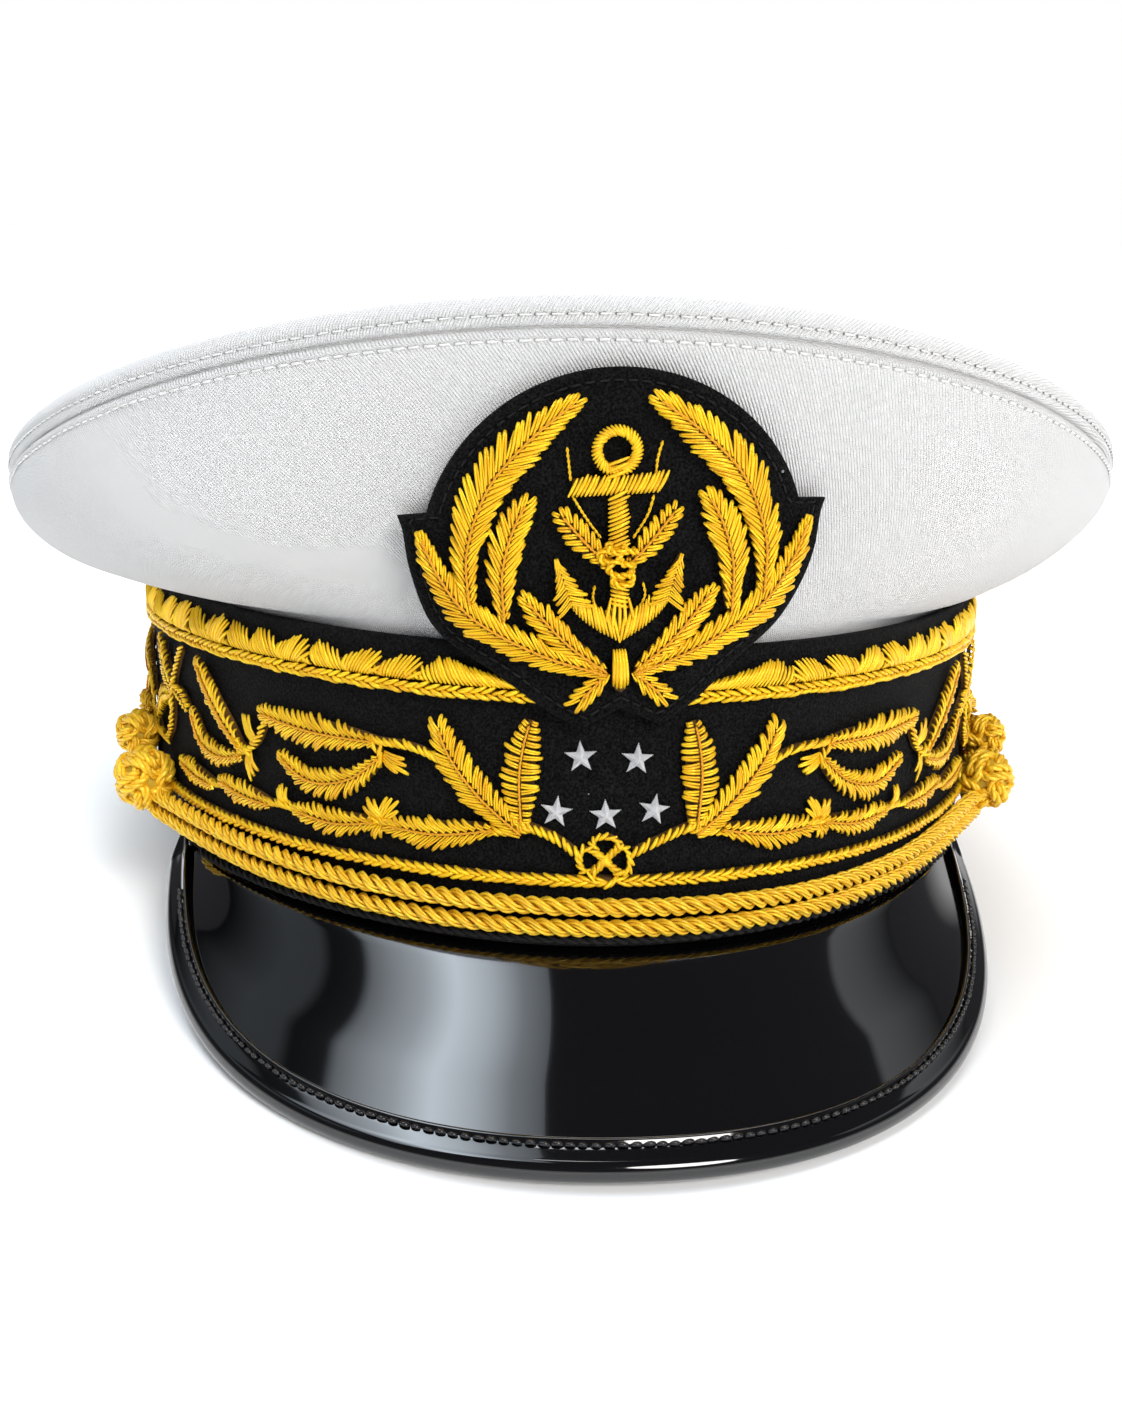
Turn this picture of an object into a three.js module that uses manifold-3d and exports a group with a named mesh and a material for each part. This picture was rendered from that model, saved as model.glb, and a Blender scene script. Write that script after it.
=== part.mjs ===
// Officer's peaked cap: white cloth crown, black band with gold embroidery, felt badge,
// gold chin cord and a patent leather peak.
// Millimetres, +Z up. The front of the cap faces -Y, and +X is on the right seen from there.
import * as THREE from 'three';
import Module from 'manifold-3d';

const wasm = await Module();
wasm.setup();

// Driving dimensions

// Clearance kept between pieces that touch
const GAP = 0.3;

// Head band for a head of about 58 cm girth; squareness draws the oval in at its corners
const BAND = { halfWidth: 86, halfDepth: 103.2, squareness: -0.05, height: 47.5, taper: 0.014, wall: 2 };

// Seam round the widest line of the crown: high in front, low at the sides and the back
const RIM = { halfWidth: 113.4, halfDepth: 124.8, setBack: 15.4, squareness: 0.055 };
const RIM_HEIGHT = { side: 58, rise: 23, frontBow: 14.6, backBow: 22 };

// White cover: the seam lies in a shallow groove between two rolled edges
const COVER = { wall: 1.5, seamInset: 1.2, tuck: 6, lift: 0.8, fullness: 0.62, sideSwell: 0.5, dome: 4 };

// Peak, measured from the band: length and slope in front, and how they change to the sides
const PEAK = { length: 40.1, halfAngle: 68.5, bluntness: 2.63, taperPower: 1.43, wall: 2, crown: 1.0 };
const PEAK_SLOPE = { front: 34, side: 12.5 };
const BINDING = { bead: 3.9, flange: 5.8, flangeWall: 0.6 };

// Felt badge, turned a little as it is sewn on
const BADGE = { x: -0.5, z: 62, turn: 3.5, wall: 2, arcRadius: 29.4, arcCentre: -1.7 };

// Embroidery rises from the cloth by these amounts
const RAISE = { leaf: 1.5, stem: 1.1, braid: 1.3, frond: 1.9, star: 1.1 };

// Chin cord, its ball knots, end loops and side buttons, by arc length from the front
const CORD = { radius: 1.5, sides: 8, steps: 24, end: 99.2 };
const KNOT = { arc: 105, height: 8.6, radius: 5.6 };
// Loops and buttons lie over the leaves and the braid at this distance from the cloth
const SEAT = 2.4;
const BUTTON = { arc: 121, height: 15, radius: 5.2, depth: 4 };

// Around the cap, and along a leaf
const ROUND_STEPS = 36;
const LEAF_STEPS = { main: 4, small: 3 };

const { PI, sin, cos, asin, abs, min, max, sign } = Math;
const radians = THREE.MathUtils.degToRad;
const vector = (x, y, z) => new THREE.Vector3(x, y, z);
const mix = (a, b, t) => a + (b - a) * t;

// Curves of the cap

// Point of an oval at an angle from the front
function oval(angle, halfWidth, halfDepth, squareness, setBack, height) {
  const s = sin(angle);
  const c = cos(angle);
  const x = halfWidth * s * (1 + squareness * c * c);
  const y = setBack - halfDepth * c * (1 + squareness * s * s);
  return vector(x, y, height);
}

// Level direction that points away from the cap at an angle of a curve
function outward(curve, angle) {
  const step = 0.001;
  const along = curve(angle + step).sub(curve(angle - step));
  return vector(along.y, -along.x, 0).normalize();
}

function bandPoint(angle, height, proud = 0) {
  const inset = BAND.taper * height;
  const curve = (a) => oval(a, BAND.halfWidth - inset, BAND.halfDepth - inset, BAND.squareness, 0, height);
  return curve(angle).addScaledVector(outward(curve, angle), proud);
}

function rimPoint(angle, proud = 0, rise = 0) {
  const c = cos(angle);
  const bow = c > 0 ? RIM_HEIGHT.frontBow : RIM_HEIGHT.backBow;
  const height = RIM_HEIGHT.side + RIM_HEIGHT.rise * c + bow * c * c;
  const curve = (a) => oval(a, RIM.halfWidth, RIM.halfDepth, RIM.squareness, RIM.setBack, height);
  return curve(angle).addScaledVector(outward(curve, angle), proud).add(vector(0, 0, rise));
}

// Angles of the band by arc length from the front
const ARC_STEPS = 720;
const arcTable = [0];
for (let i = 1; i <= ARC_STEPS; i++) {
  const from = bandPoint(((i - 1) / ARC_STEPS) * PI, BAND.height / 2);
  const to = bandPoint((i / ARC_STEPS) * PI, BAND.height / 2);
  arcTable.push(arcTable[i - 1] + from.distanceTo(to));
}
const HALF_GIRTH = arcTable[ARC_STEPS];

function bandAngle(arc) {
  const length = min(abs(arc), HALF_GIRTH);
  let i = 1;
  while (i < ARC_STEPS && arcTable[i] < length) i++;
  const part = (length - arcTable[i - 1]) / (arcTable[i] - arcTable[i - 1]);
  return (sign(arc) * (i - 1 + part) * PI) / ARC_STEPS;
}

// Place on the band by arc length, height and distance proud of the cloth
function onBand(arc, height, proud) {
  return bandPoint(bandAngle(arc), height, proud);
}

// Front of the cap at x and z: the band below, and above it a straight line up to the rim
function onFront(x, z, proud) {
  const rimDrop = 1.5;
  const at = (angle) => {
    if (z <= BAND.height) return bandPoint(angle, z, proud);
    const low = bandPoint(angle, BAND.height, proud);
    const high = rimPoint(angle, proud, -rimDrop);
    const along = (z - low.z) / (high.z - low.z);
    return low.lerp(high, along);
  };
  let angle = asin(x / BAND.halfWidth);
  for (let i = 0; i < 20; i++) angle += (x - at(angle).x) / BAND.halfWidth;
  return at(angle);
}

// Place on the felt badge by its own axes u and w, turned with the badge
function onBadge(u, w, proud) {
  const turn = radians(BADGE.turn);
  const x = BADGE.x + u * cos(turn) - w * sin(turn);
  const z = BADGE.z + u * sin(turn) + w * cos(turn);
  return onFront(x, z, GAP + BADGE.wall + proud);
}

// Solids

// Triangles of a flat or nearly flat loop of points
function capTriangles(loop) {
  const normal = vector(0, 0, 0);
  loop.forEach((p, i) => normal.add(p.clone().cross(loop[(i + 1) % loop.length])));
  normal.normalize();
  const across = loop[1].clone().sub(loop[0]).normalize();
  const up = normal.clone().cross(across);
  const flat = loop.map((p) => new THREE.Vector2(p.dot(across), p.dot(up)));
  return THREE.ShapeUtils.triangulateShape(flat, []);
}

// Skin over sections that are closed loops or single points, as one closed body
function loft(sections, closed = false) {
  const points = [];
  const starts = [];
  for (const section of sections) {
    starts.push(points.length);
    points.push(...section);
  }
  const faces = [];
  const last = sections.length - 1;
  for (let i = 0; i < (closed ? last + 1 : last); i++) {
    const j = (i + 1) % sections.length;
    const count = max(sections[i].length, sections[j].length);
    for (let k = 0; k < count; k++) {
      const next = (k + 1) % count;
      const [a, b] = [starts[i], starts[j]];
      if (sections[i].length > 1) faces.push([a + k, a + next, b + (sections[j].length > 1 ? next : 0)]);
      if (sections[j].length > 1) faces.push([a + (sections[i].length > 1 ? k : 0), b + next, b + k]);
    }
  }
  if (!closed && sections[0].length > 1) {
    for (const [a, b, c] of capTriangles(sections[0])) faces.push([a, c, b]);
  }
  if (!closed && sections[last].length > 1) {
    for (const [a, b, c] of capTriangles(sections[last])) {
      faces.push([starts[last] + a, starts[last] + b, starts[last] + c]);
    }
  }
  return bodyOf(points, faces);
}

// Geometry with its faces pointing out
function bodyOf(points, faces) {
  let volume = 0;
  for (const [a, b, c] of faces) volume += points[a].dot(points[b].clone().cross(points[c]));
  const order = volume < 0 ? faces.map(([a, b, c]) => [a, c, b]) : faces;
  const geometry = new THREE.BufferGeometry();
  geometry.setAttribute('position', new THREE.Float32BufferAttribute(points.flatMap((p) => p.toArray()), 3));
  geometry.setIndex(order.flat());
  return geometry;
}

function toSolid(geometry) {
  return new wasm.Manifold(new wasm.Mesh({
    numProp: 3,
    vertProperties: new Float32Array(geometry.attributes.position.array),
    triVerts: new Uint32Array(geometry.index.array),
  }));
}

function toGeometry(solid) {
  const mesh = solid.getMesh();
  const geometry = new THREE.BufferGeometry();
  geometry.setAttribute('position', new THREE.BufferAttribute(mesh.vertProperties, 3));
  geometry.setIndex(new THREE.BufferAttribute(mesh.triVerts, 1));
  return geometry;
}

// One body from pieces that run into each other
function fuse(pieces) {
  const sliver = 0.12;
  const [first, ...rest] = pieces.map(toSolid);
  return toGeometry(rest.reduce((sum, piece) => sum.add(piece), first).simplify(sliver));
}

// Angles of a full turn, or evenly spaced values between two ends
const turnAngles = Array.from({ length: ROUND_STEPS }, (_, i) => (i / ROUND_STEPS) * 2 * PI);
function spread(from, to, steps) {
  return Array.from({ length: steps + 1 }, (_, i) => mix(from, to, i / steps));
}

// White cover

// Inner face of the cover at an angle, for outer points that run away from the seam
function innerFace(points, angle, wall) {
  const along = vector(0, 0, 1).cross(outward((a) => rimPoint(a), angle));
  return points.map((p, i) => {
    const before = points[max(i - 1, 0)];
    const after = points[min(i + 1, points.length - 1)];
    const inward = along.clone().cross(after.clone().sub(before)).normalize();
    return p.clone().addScaledVector(inward, wall);
  });
}

// Section of the side panel at an angle: the lip at the seam, a curve under the rim and the tuck
function sideSection(angle) {
  const inset = BAND.wall + GAP;
  const top = bandPoint(angle, BAND.height + COVER.lift, -inset);
  const tuck = bandPoint(angle, BAND.height - COVER.tuck, -inset);
  const rolled = rimPoint(angle, 0, -1.5);
  const { fullness } = COVER;
  const straight = cos(angle) > 0 ? 1 - THREE.MathUtils.smoothstep(abs(sin(angle)), 0.3, 0.8) : 0;
  const under = rolled.clone().lerp(vector(rolled.x, rolled.y, top.z), fullness);
  const near = top.clone().lerp(vector(rolled.x, rolled.y, top.z), fullness);
  under.lerp(rolled.clone().lerp(top, 1 / 3), straight);
  near.lerp(top.clone().lerp(rolled, 1 / 3), straight);
  const curve = new THREE.CubicBezierCurve3(rolled, under, near, top);
  const outer = [
    rimPoint(angle, -COVER.seamInset, -GAP / 2),
    rimPoint(angle, -0.25, -0.8),
    ...spread(0, 1, 4).map((t) => curve.getPoint(t)),
    tuck,
  ];
  return [...outer, ...innerFace(outer, angle, COVER.wall).reverse()];
}

function crownSide() {
  return loft(turnAngles.map(sideSection), true);
}

// Top surface: a skin stretched inside the rim, with a light dome; reach runs from 0 to 1 at the rim
function topPoint(angle, reach, lift) {
  const edge = rimPoint(angle);
  const ahead = reach * cos(angle);
  const bow = ahead > 0 ? RIM_HEIGHT.frontBow : RIM_HEIGHT.backBow;
  const meanBow = (RIM_HEIGHT.frontBow + RIM_HEIGHT.backBow) / 2;
  const slack = (1 - reach * reach) * (meanBow / 2 + COVER.dome);
  const height = RIM_HEIGHT.side + RIM_HEIGHT.rise * ahead + bow * ahead * ahead + slack;
  return vector(edge.x * reach, mix(RIM.setBack, edge.y, reach), height + lift);
}

function crownTop() {
  const roll = [[-COVER.seamInset, GAP / 2], [-0.25, 0.9], [0, 2], [-1.1, 3.6]];
  const rollLift = 4.3;
  const reaches = [0.965, 0.8, 0.45];
  const outer = turnAngles.map((angle) => {
    const swell = COVER.sideSwell * sin(angle) ** 2;
    return [
      ...roll.map(([out, up]) => rimPoint(angle, out, up * (1 + swell) - (GAP / 2) * swell)),
      ...reaches.map((reach) => topPoint(angle, reach, rollLift * (1 + swell * reach * reach))),
    ];
  });
  const inner = outer.map((points, i) => innerFace(points, turnAngles[i], -COVER.wall));
  const rings = (sections) => sections[0].map((_, k) => sections.map((points) => points[k]));
  const pole = (lift) => [topPoint(0, 0, lift)];
  return loft([pole(rollLift), ...rings(outer).reverse(), ...rings(inner), pole(rollLift - COVER.wall)]);
}

// Band

function band() {
  const rows = [0, BAND.height];
  return loft(turnAngles.map((angle) => [
    ...rows.map((height) => bandPoint(angle, height)),
    ...rows.toReversed().map((height) => bandPoint(angle, height, -BAND.wall)),
  ]), true);
}

// Peak

// Frame of the peak at an angle: root on the band, direction of the slope and the way up from it
function peakFrame(angle) {
  const slope = radians(PEAK_SLOPE.front + PEAK_SLOPE.side * sin(angle) ** 2);
  const away = outward((a) => bandPoint(a, 0), angle);
  const share = min(abs(angle) / radians(PEAK.halfAngle), 1);
  return {
    root: bandPoint(angle, 0, -1).setZ(-GAP),
    down: away.clone().multiplyScalar(cos(slope)).add(vector(0, 0, -sin(slope))),
    up: away.clone().multiplyScalar(sin(slope)).add(vector(0, 0, cos(slope))),
    reach: PEAK.length * (1 - share ** PEAK.bluntness) ** PEAK.taperPower,
  };
}

// The sheet bulges a little between the band and the rim
function sheetCrown(reach, run) {
  const part = reach > 0 ? min(run / reach, 1) : 0;
  return 4 * PEAK.crown * (reach / PEAK.length) * part * (1 - part);
}

function peakPoint(angle, run, lift) {
  const { root, down, up, reach } = peakFrame(angle);
  return root.addScaledVector(down, run).addScaledVector(up, lift + sheetCrown(reach, run));
}

const peakRim = (angle) => peakPoint(angle, peakFrame(angle).reach, 0);

// Directions at the rim: along it, out from it and up
function rimFrame(angle) {
  const step = 0.002;
  const along = peakRim(angle + step).sub(peakRim(angle - step)).normalize();
  const { up } = peakFrame(angle);
  const out = up.clone().cross(along).negate().normalize();
  return { along, out, up: along.clone().cross(out).negate().normalize() };
}

// Run on the sheet, along its slope, to a line that keeps a distance inside the rim
function runInside(angle, inward) {
  const { down, reach } = peakFrame(angle);
  const square = down.clone().cross(rimFrame(angle).along).length();
  return reach - inward / square;
}
const sheetReach = (angle) => runInside(angle, BINDING.bead + GAP);

function peak() {
  const rows = [0, 0.33, 0.67, 1];
  const shortest = 1.2;
  let end = radians(PEAK.halfAngle);
  while (sheetReach(end) < shortest) end -= 0.002;
  return loft(spread(-end, end, 32).map((angle) => {
    const reach = sheetReach(angle);
    const top = rows.map((row) => peakPoint(angle, row * reach, 0));
    const under = rows.toReversed().map((row) => peakPoint(angle, row * reach, -PEAK.wall));
    return [...top, ...under];
  }));
}

// Section of the binding as [in from the rim, up]: a flange on the sheet, then the round bead
function bindingSection() {
  const { bead, flange, flangeWall } = BINDING;
  const middle = -PEAK.wall / 2;
  const radius = bead / 2;
  const round = [120, 65, 10, -45, -100, -150].map((degrees) => {
    const turn = radians(degrees);
    return [radius - radius * cos(turn), middle + radius * sin(turn)];
  });
  const seat = 2 * GAP;
  return [[flange, seat], [flange, seat + flangeWall], [bead, seat + flangeWall], ...round, [bead, seat]];
}

function peakBinding() {
  const section = bindingSection();
  const lowest = -BINDING.bead - 2 * GAP;
  let end = radians(PEAK.halfAngle);
  while (peakRim(end).z > lowest) end -= 0.002;
  return loft(spread(-end, end, 34).map((angle) => {
    const at = peakRim(angle);
    const { out, up } = rimFrame(angle);
    const { reach } = peakFrame(angle);
    return section.map(([inward, rise]) => {
      const crown = inward < BINDING.bead ? 0 : sheetCrown(reach, runInside(angle, inward));
      return at.clone().addScaledVector(out, -inward).addScaledVector(up, rise + crown);
    });
  }));
}

// Embroidery

// Raised strip along a spine of [across, up] points, pointed where its width runs out
function strip(place, spine, widthAt, base, rise, steps) {
  const curve = new THREE.CatmullRomCurve3(spine.map(([s, h]) => vector(s, h, 0)));
  const sections = spread(0, 1, steps).map((t) => {
    const at = curve.getPoint(t);
    const along = curve.getTangent(t);
    const half = widthAt(t) / 2;
    if (half < 0.05) return [place(at.x, at.y, base + rise / 3)];
    const [dx, dy] = [-along.y * half, along.x * half];
    return [
      place(at.x + dx, at.y + dy, base),
      place(at.x, at.y, base + rise),
      place(at.x - dx, at.y - dy, base),
    ];
  });
  return loft(sections);
}

// Leaves run from the foot, which keeps some width, to the tip
const STEM_WIDTH = 1.4;
const leafWidth = (width) => (t) => width * sin(PI * mix(0.1, 1, t)) ** 0.75;
function leaf(place, spine, width, rise = RAISE.leaf, steps = LEAF_STEPS.main) {
  return strip(place, spine, leafWidth(width), GAP + 0.2, rise, steps);
}
function stem(place, spine, steps) {
  return strip(place, spine, () => STEM_WIDTH, GAP, RAISE.stem, steps);
}
const smallLeaf = (place, spine, width) => leaf(place, spine, width, RAISE.leaf, LEAF_STEPS.small);

// Leaf sprays on the front of the band: rows of spine points [arc, height] and the width
const FRONT_LEAVES = [
  { spine: [[13.6, 19.7], [14, 27.5], [13.3, 33], [12.5, 36.1]], width: 5.8 },
  { spine: [[13.6, 18], [20.3, 23.7], [25.2, 29.8], [27.2, 34.4]], width: 5.6 },
  { spine: [[38.7, 30.3], [51.8, 30.1], [64.5, 31.1]], width: 5.5 },
  { spine: [[37.4, 27.7], [43.2, 23.4], [51.6, 21.7], [58.9, 24.5]], width: 5 },
  { spine: [[17.9, 18.4], [26.8, 16.8], [36.1, 16.9]], width: 5 },
  { spine: [[38.2, 17], [46.4, 15.5], [55, 16]], width: 4.7 },
  { spine: [[62, 15.5], [69.2, 15.6], [76.5, 16.5]], width: 4.6 },
  { spine: [[79.6, 15], [86, 15.2], [93.5, 16.3]], width: 4.4 },
  { spine: [[70.5, 24], [78.6, 29.7], [85.9, 36.6]], width: 4.4 },
  { spine: [[69.8, 22.3], [77.6, 20.9], [84, 22.3], [88, 26.8]], width: 4.2 },
];
const BUDS = [
  { spine: [[37, 28.2], [34.8, 27.2], [32.5, 25.9]], width: 2.6 },
  { spine: [[37.6, 17.6], [39.2, 19.4], [40.6, 20.9]], width: 2.4 },
  { spine: [[37.4, 17.6], [36, 19.7], [35, 21.7]], width: 2.4 },
  { spine: [[37.5, 17], [38.3, 15.4], [38.9, 13.9]], width: 2.4 },
  { spine: [[66.6, 25.6], [68.2, 28], [69, 30.6]], width: 2.2 },
  { spine: [[68.3, 23.4], [67.4, 20.8], [66.5, 18.6]], width: 2.2 },
  { spine: [[58.2, 16.2], [58.9, 18.2], [59.4, 20]], width: 2.2 },
];
const FRONT_STEMS = [
  [[25.8, 28.4], [31.5, 30.2], [39.6, 30.5]],
  [[37.2, 27.4], [37.8, 28.8], [39.4, 30.2]],
  [[62.9, 30.6], [66, 25.6], [71.6, 22.4]],
  [[68.4, 23.6], [70, 24], [72.2, 25]],
  [[53.6, 16], [58.4, 16.2], [63.4, 15.7]],
  [[75.4, 16.3], [78.4, 15.6], [81, 15.1]],
  [[12.8, 18.8], [15.6, 18.2], [19.4, 18]],
  [[34.6, 17], [37.4, 17.3], [39.8, 16.8]],
];

// The branch that goes on round the side, and the piece of it that repeats towards the back
const SIDE_LEAVES = [
  { spine: [[98.6, 29.4], [94.6, 28.8], [90.6, 27]], width: 2.4 },
  { spine: [[99, 28.8], [104, 32.6], [107, 37.4]], width: 4 },
  { spine: [[99.4, 28], [105.6, 26.4], [109.6, 22.4]], width: 4 },
];
const SIDE_STEM = [[94.2, 37.4], [97.4, 33], [99.4, 28.6], [100.2, 22], [103.5, 18.6]];
const REPEAT_PITCH = 60;
const REPEAT_COUNT = 3;
const REPEAT_LEAVES = [
  { spine: [[16.4, 28.6], [30, 31], [43, 33.4]], width: 4.8 },
  { spine: [[16.2, 27.6], [27, 21.6], [38.6, 23.6]], width: 4.4 },
  { spine: [[7.6, 18.8], [20, 16.2], [32, 16.8]], width: 4.4 },
  { spine: [[47, 25.4], [55.4, 30.6], [62, 35.6]], width: 4.2 },
];
const REPEAT_STEM = [[0, 18.4], [8, 19.4], [17, 28.2], [31, 27.2], [44.6, 27.2], [54, 21], [60.8, 18.4]];

function spray(side) {
  const place = (arc, height, proud) => onBand(side * arc, height, proud);
  return fuse([
    ...FRONT_LEAVES.map(({ spine, width }) => leaf(place, spine, width)),
    ...BUDS.map(({ spine, width }) => smallLeaf(place, spine, width)),
    ...FRONT_STEMS.map((spine) => stem(place, spine, 2)),
    stem(place, [[4.5 - side * 0.7, 15.4], [8.5, 17.6], [14.2, 19.9]], 3),
  ]);
}

function sideSpray(side) {
  const place = (arc, height, proud) => onBand(side * arc, height, proud);
  const pieces = [
    ...SIDE_LEAVES.map(({ spine, width }) => smallLeaf(place, spine, width)),
    stem(place, SIDE_STEM, 6),
  ];
  for (let i = 0; i < REPEAT_COUNT; i++) {
    const shift = 103 + i * REPEAT_PITCH;
    const move = (spine) => spine.map(([arc, height]) => [arc + shift, height]);
    const isLast = i === REPEAT_COUNT - 1;
    for (const { spine, width } of REPEAT_LEAVES) pieces.push(smallLeaf(place, move(spine), width));
    pieces.push(stem(place, move(isLast ? REPEAT_STEM.slice(0, -1) : REPEAT_STEM), 7));
  }
  return fuse(pieces);
}

// Braid with a row of half leaves on it: each rises steeply at its front end and falls outwards
const BORDER = {
  start: 13.6, firstTip: 24.4, pitch: 7.4, foot: 38.8, braid: 2.2, top: 45.1, climb: 1.7, fall: 1.4,
};

function border(side) {
  const { start, firstTip, pitch, foot, braid, top, climb, fall } = BORDER;
  const place = (arc, height, proud) => onBand(side * arc, height, proud);
  const tipHeight = (arc) => top + climb * min(1, (arc / 85) ** 2);
  const station = (arc, height) => [
    place(arc, foot, GAP),
    place(arc, foot + braid / 2, GAP + RAISE.braid),
    place(arc, mix(foot + braid, height, 0.45), GAP + RAISE.leaf),
    place(arc, height, GAP),
  ];
  const point = [place(start, foot + 0.7, GAP + RAISE.braid / 2)];
  const sections = [point, station(start + 4, foot + braid + 1.3)];
  const backClearance = 0.8;
  for (let arc = firstTip; arc + pitch < HALF_GIRTH - backClearance; arc += pitch) {
    sections.push(station(arc, tipHeight(arc)));
    sections.push(station(arc + pitch - 0.9, tipHeight(arc) - fall));
  }
  return loft(sections);
}

// Braid round the foot of the band, with the four-lobed knot on it in front
const BRAID_KNOT = { arc: -0.7, height: 14, steps: 20 };
const braidHeight = (arc) => 10.7 - 0.7 * min(1, (arc / 55) ** 2);
function lowerBraid() {
  const half = 1;
  const ring = loft(turnAngles.map((angle) => {
    const share = angle > PI ? 2 * PI - angle : angle;
    const index = (share / PI) * ARC_STEPS;
    const arc = arcTable[Math.round(index)];
    const height = braidHeight(arc);
    return [
      bandPoint(angle, height - half, GAP),
      bandPoint(angle, height, GAP + RAISE.braid),
      bandPoint(angle, height + half, GAP),
    ];
  }), true);
  const cordHalf = 0.65;
  const knot = loft(spread(0, 2 * PI, BRAID_KNOT.steps).slice(1).map((turn) => {
    const lobe = 2.9 + abs(cos(2 * turn));
    const [u, w] = [BRAID_KNOT.arc + lobe * cos(turn), BRAID_KNOT.height + lobe * sin(turn)];
    const [du, dw] = [cordHalf * cos(turn), cordHalf * sin(turn)];
    return [
      onBand(u + du, w + dw, GAP + 0.1),
      onBand(u, w, GAP + RAISE.leaf),
      onBand(u - du, w - dw, GAP + 0.1),
    ];
  }), true);
  return fuse([ring, knot]);
}

// Geometry of a closed three.js shape, laid on a surface and merged
function wrap(geometry, place) {
  const source = geometry.attributes.position;
  const known = new Map();
  const points = [];
  const index = [];
  for (let i = 0; i < source.count; i++) {
    const key = [source.getX(i), source.getY(i), source.getZ(i)].map((v) => Math.round(v * 1e4)).join();
    if (!known.has(key)) {
      known.set(key, points.length);
      points.push(place(source.getX(i), source.getY(i), source.getZ(i)));
    }
    index.push(known.get(key));
  }
  const order = geometry.index ? Array.from(geometry.index.array) : index.map((_, i) => i);
  const faces = [];
  for (let i = 0; i < order.length; i += 3) {
    const face = [index[order[i]], index[order[i + 1]], index[order[i + 2]]];
    if (new Set(face).size === 3) faces.push(face);
  }
  return bodyOf(points, faces);
}

// Five-pointed star with raised ridges
function star(arc, height) {
  const outer = 2.25;
  const inner = 0.95;
  const outline = Array.from({ length: 10 }, (_, i) => {
    const turn = (i * PI) / 5 + PI / 2;
    const radius = i % 2 ? inner : outer;
    return onBand(arc + radius * cos(turn), height + radius * sin(turn), GAP);
  });
  return loft([outline, [onBand(arc, height, GAP + RAISE.star)]]);
}
const STARS = [[-4.8, 30.5], [4, 30.2], [-8.4, 21.6], [-0.7, 21.2], [6.9, 22]];

// Badge

// Right half of the patch's outline, from the middle of its foot up to the notch
const BADGE_SIDE = [[6.1, -26.4], [11.2, -23.4], [18.8, -17.2], [25.2, -12], [29, -6.2], [31, -0.7],
  [31.7, 5], [32.3, 7.1], [27.9, 7.4]];

function badgeOutline() {
  const start = Math.atan2(BADGE_SIDE.at(-1)[1] - BADGE.arcCentre, BADGE_SIDE.at(-1)[0]);
  const arc = spread(start, PI - start, 16).slice(1, -1).map((turn) => (
    [BADGE.arcRadius * cos(turn), BADGE.arcCentre + BADGE.arcRadius * sin(turn)]
  ));
  const left = BADGE_SIDE.toReversed().map(([u, w]) => [-u, w]);
  return [[0, -23.4], ...BADGE_SIDE, ...arc, ...left];
}

function badgeBacking() {
  const heights = [32, 40, BAND.height, 62, 77, 92];
  const slab = loft(spread(-37, 37, 8).map((x) => [
    ...heights.map((z) => onFront(x, z, GAP)),
    ...heights.toReversed().map((z) => onFront(x, z, GAP + BADGE.wall)),
  ]));
  const turn = radians(BADGE.turn);
  const outline = badgeOutline().map(([u, w]) => new THREE.Vector2(
    BADGE.x + u * cos(turn) - w * sin(turn),
    BADGE.z + u * sin(turn) + w * cos(turn),
  ));
  const cutter = new THREE.ExtrudeGeometry(new THREE.Shape(outline), { depth: 60, bevelEnabled: false });
  cutter.rotateX(PI / 2);
  cutter.translate(0, -80, 0);
  const prism = toSolid(wrap(cutter, vector));
  return toGeometry(toSolid(slab).intersect(prism).simplify(0.01));
}

// Fronds of one branch of the wreath: spine points [u, w] from foot to tip, and the width
const FRONDS = [
  { spine: [[22.3, -6.5], [22.3, 1.6], [18.8, 11], [13, 17.5], [5.6, 23.2]], width: 6.6 },
  { spine: [[17.2, -9], [17.2, -1.5], [15.4, 4.9], [13.1, 9.1]], width: 5.6 },
  { spine: [[2.2, -17.7], [12.6, -14], [22.4, -8], [26.6, -2], [29, 4.1]], width: 5.4 },
  { spine: [[2.2, -17.3], [7.8, -12.9], [14.3, -5.3]], width: 4.6 },
];
const TAIL = [[2.1, -17.4], [4.3, -19.7], [6.9, -22.4]];

function wreath(side) {
  const place = (u, w, proud) => onBadge(side * u, w, proud);
  return fuse([
    ...FRONDS.map(({ spine, width }) => leaf(place, spine, width, RAISE.frond)),
    strip(place, TAIL, (t) => mix(1.6, 3.4, t), GAP, RAISE.stem, 3),
  ]);
}

function wreathTie() {
  const spine = [[-0.1, -14], [-0.1, -17.4], [-0.1, -20.6]];
  return strip(onBadge, spine, (t) => mix(1.7, 2.5, sin(PI * t)), GAP, 2.2, 4);
}

// Anchor, on the axes of the badge
const ANCHOR_ARMS = [[-8, -4.4], [-5.2, -7.4], [0, -10.4], [5.2, -7.4], [8, -4.4]];
const FLUKE = [[9.1, -0.1], [5, -3.8], [6.8, -5], [7.5, -8.2], [9.3, -4]];

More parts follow.
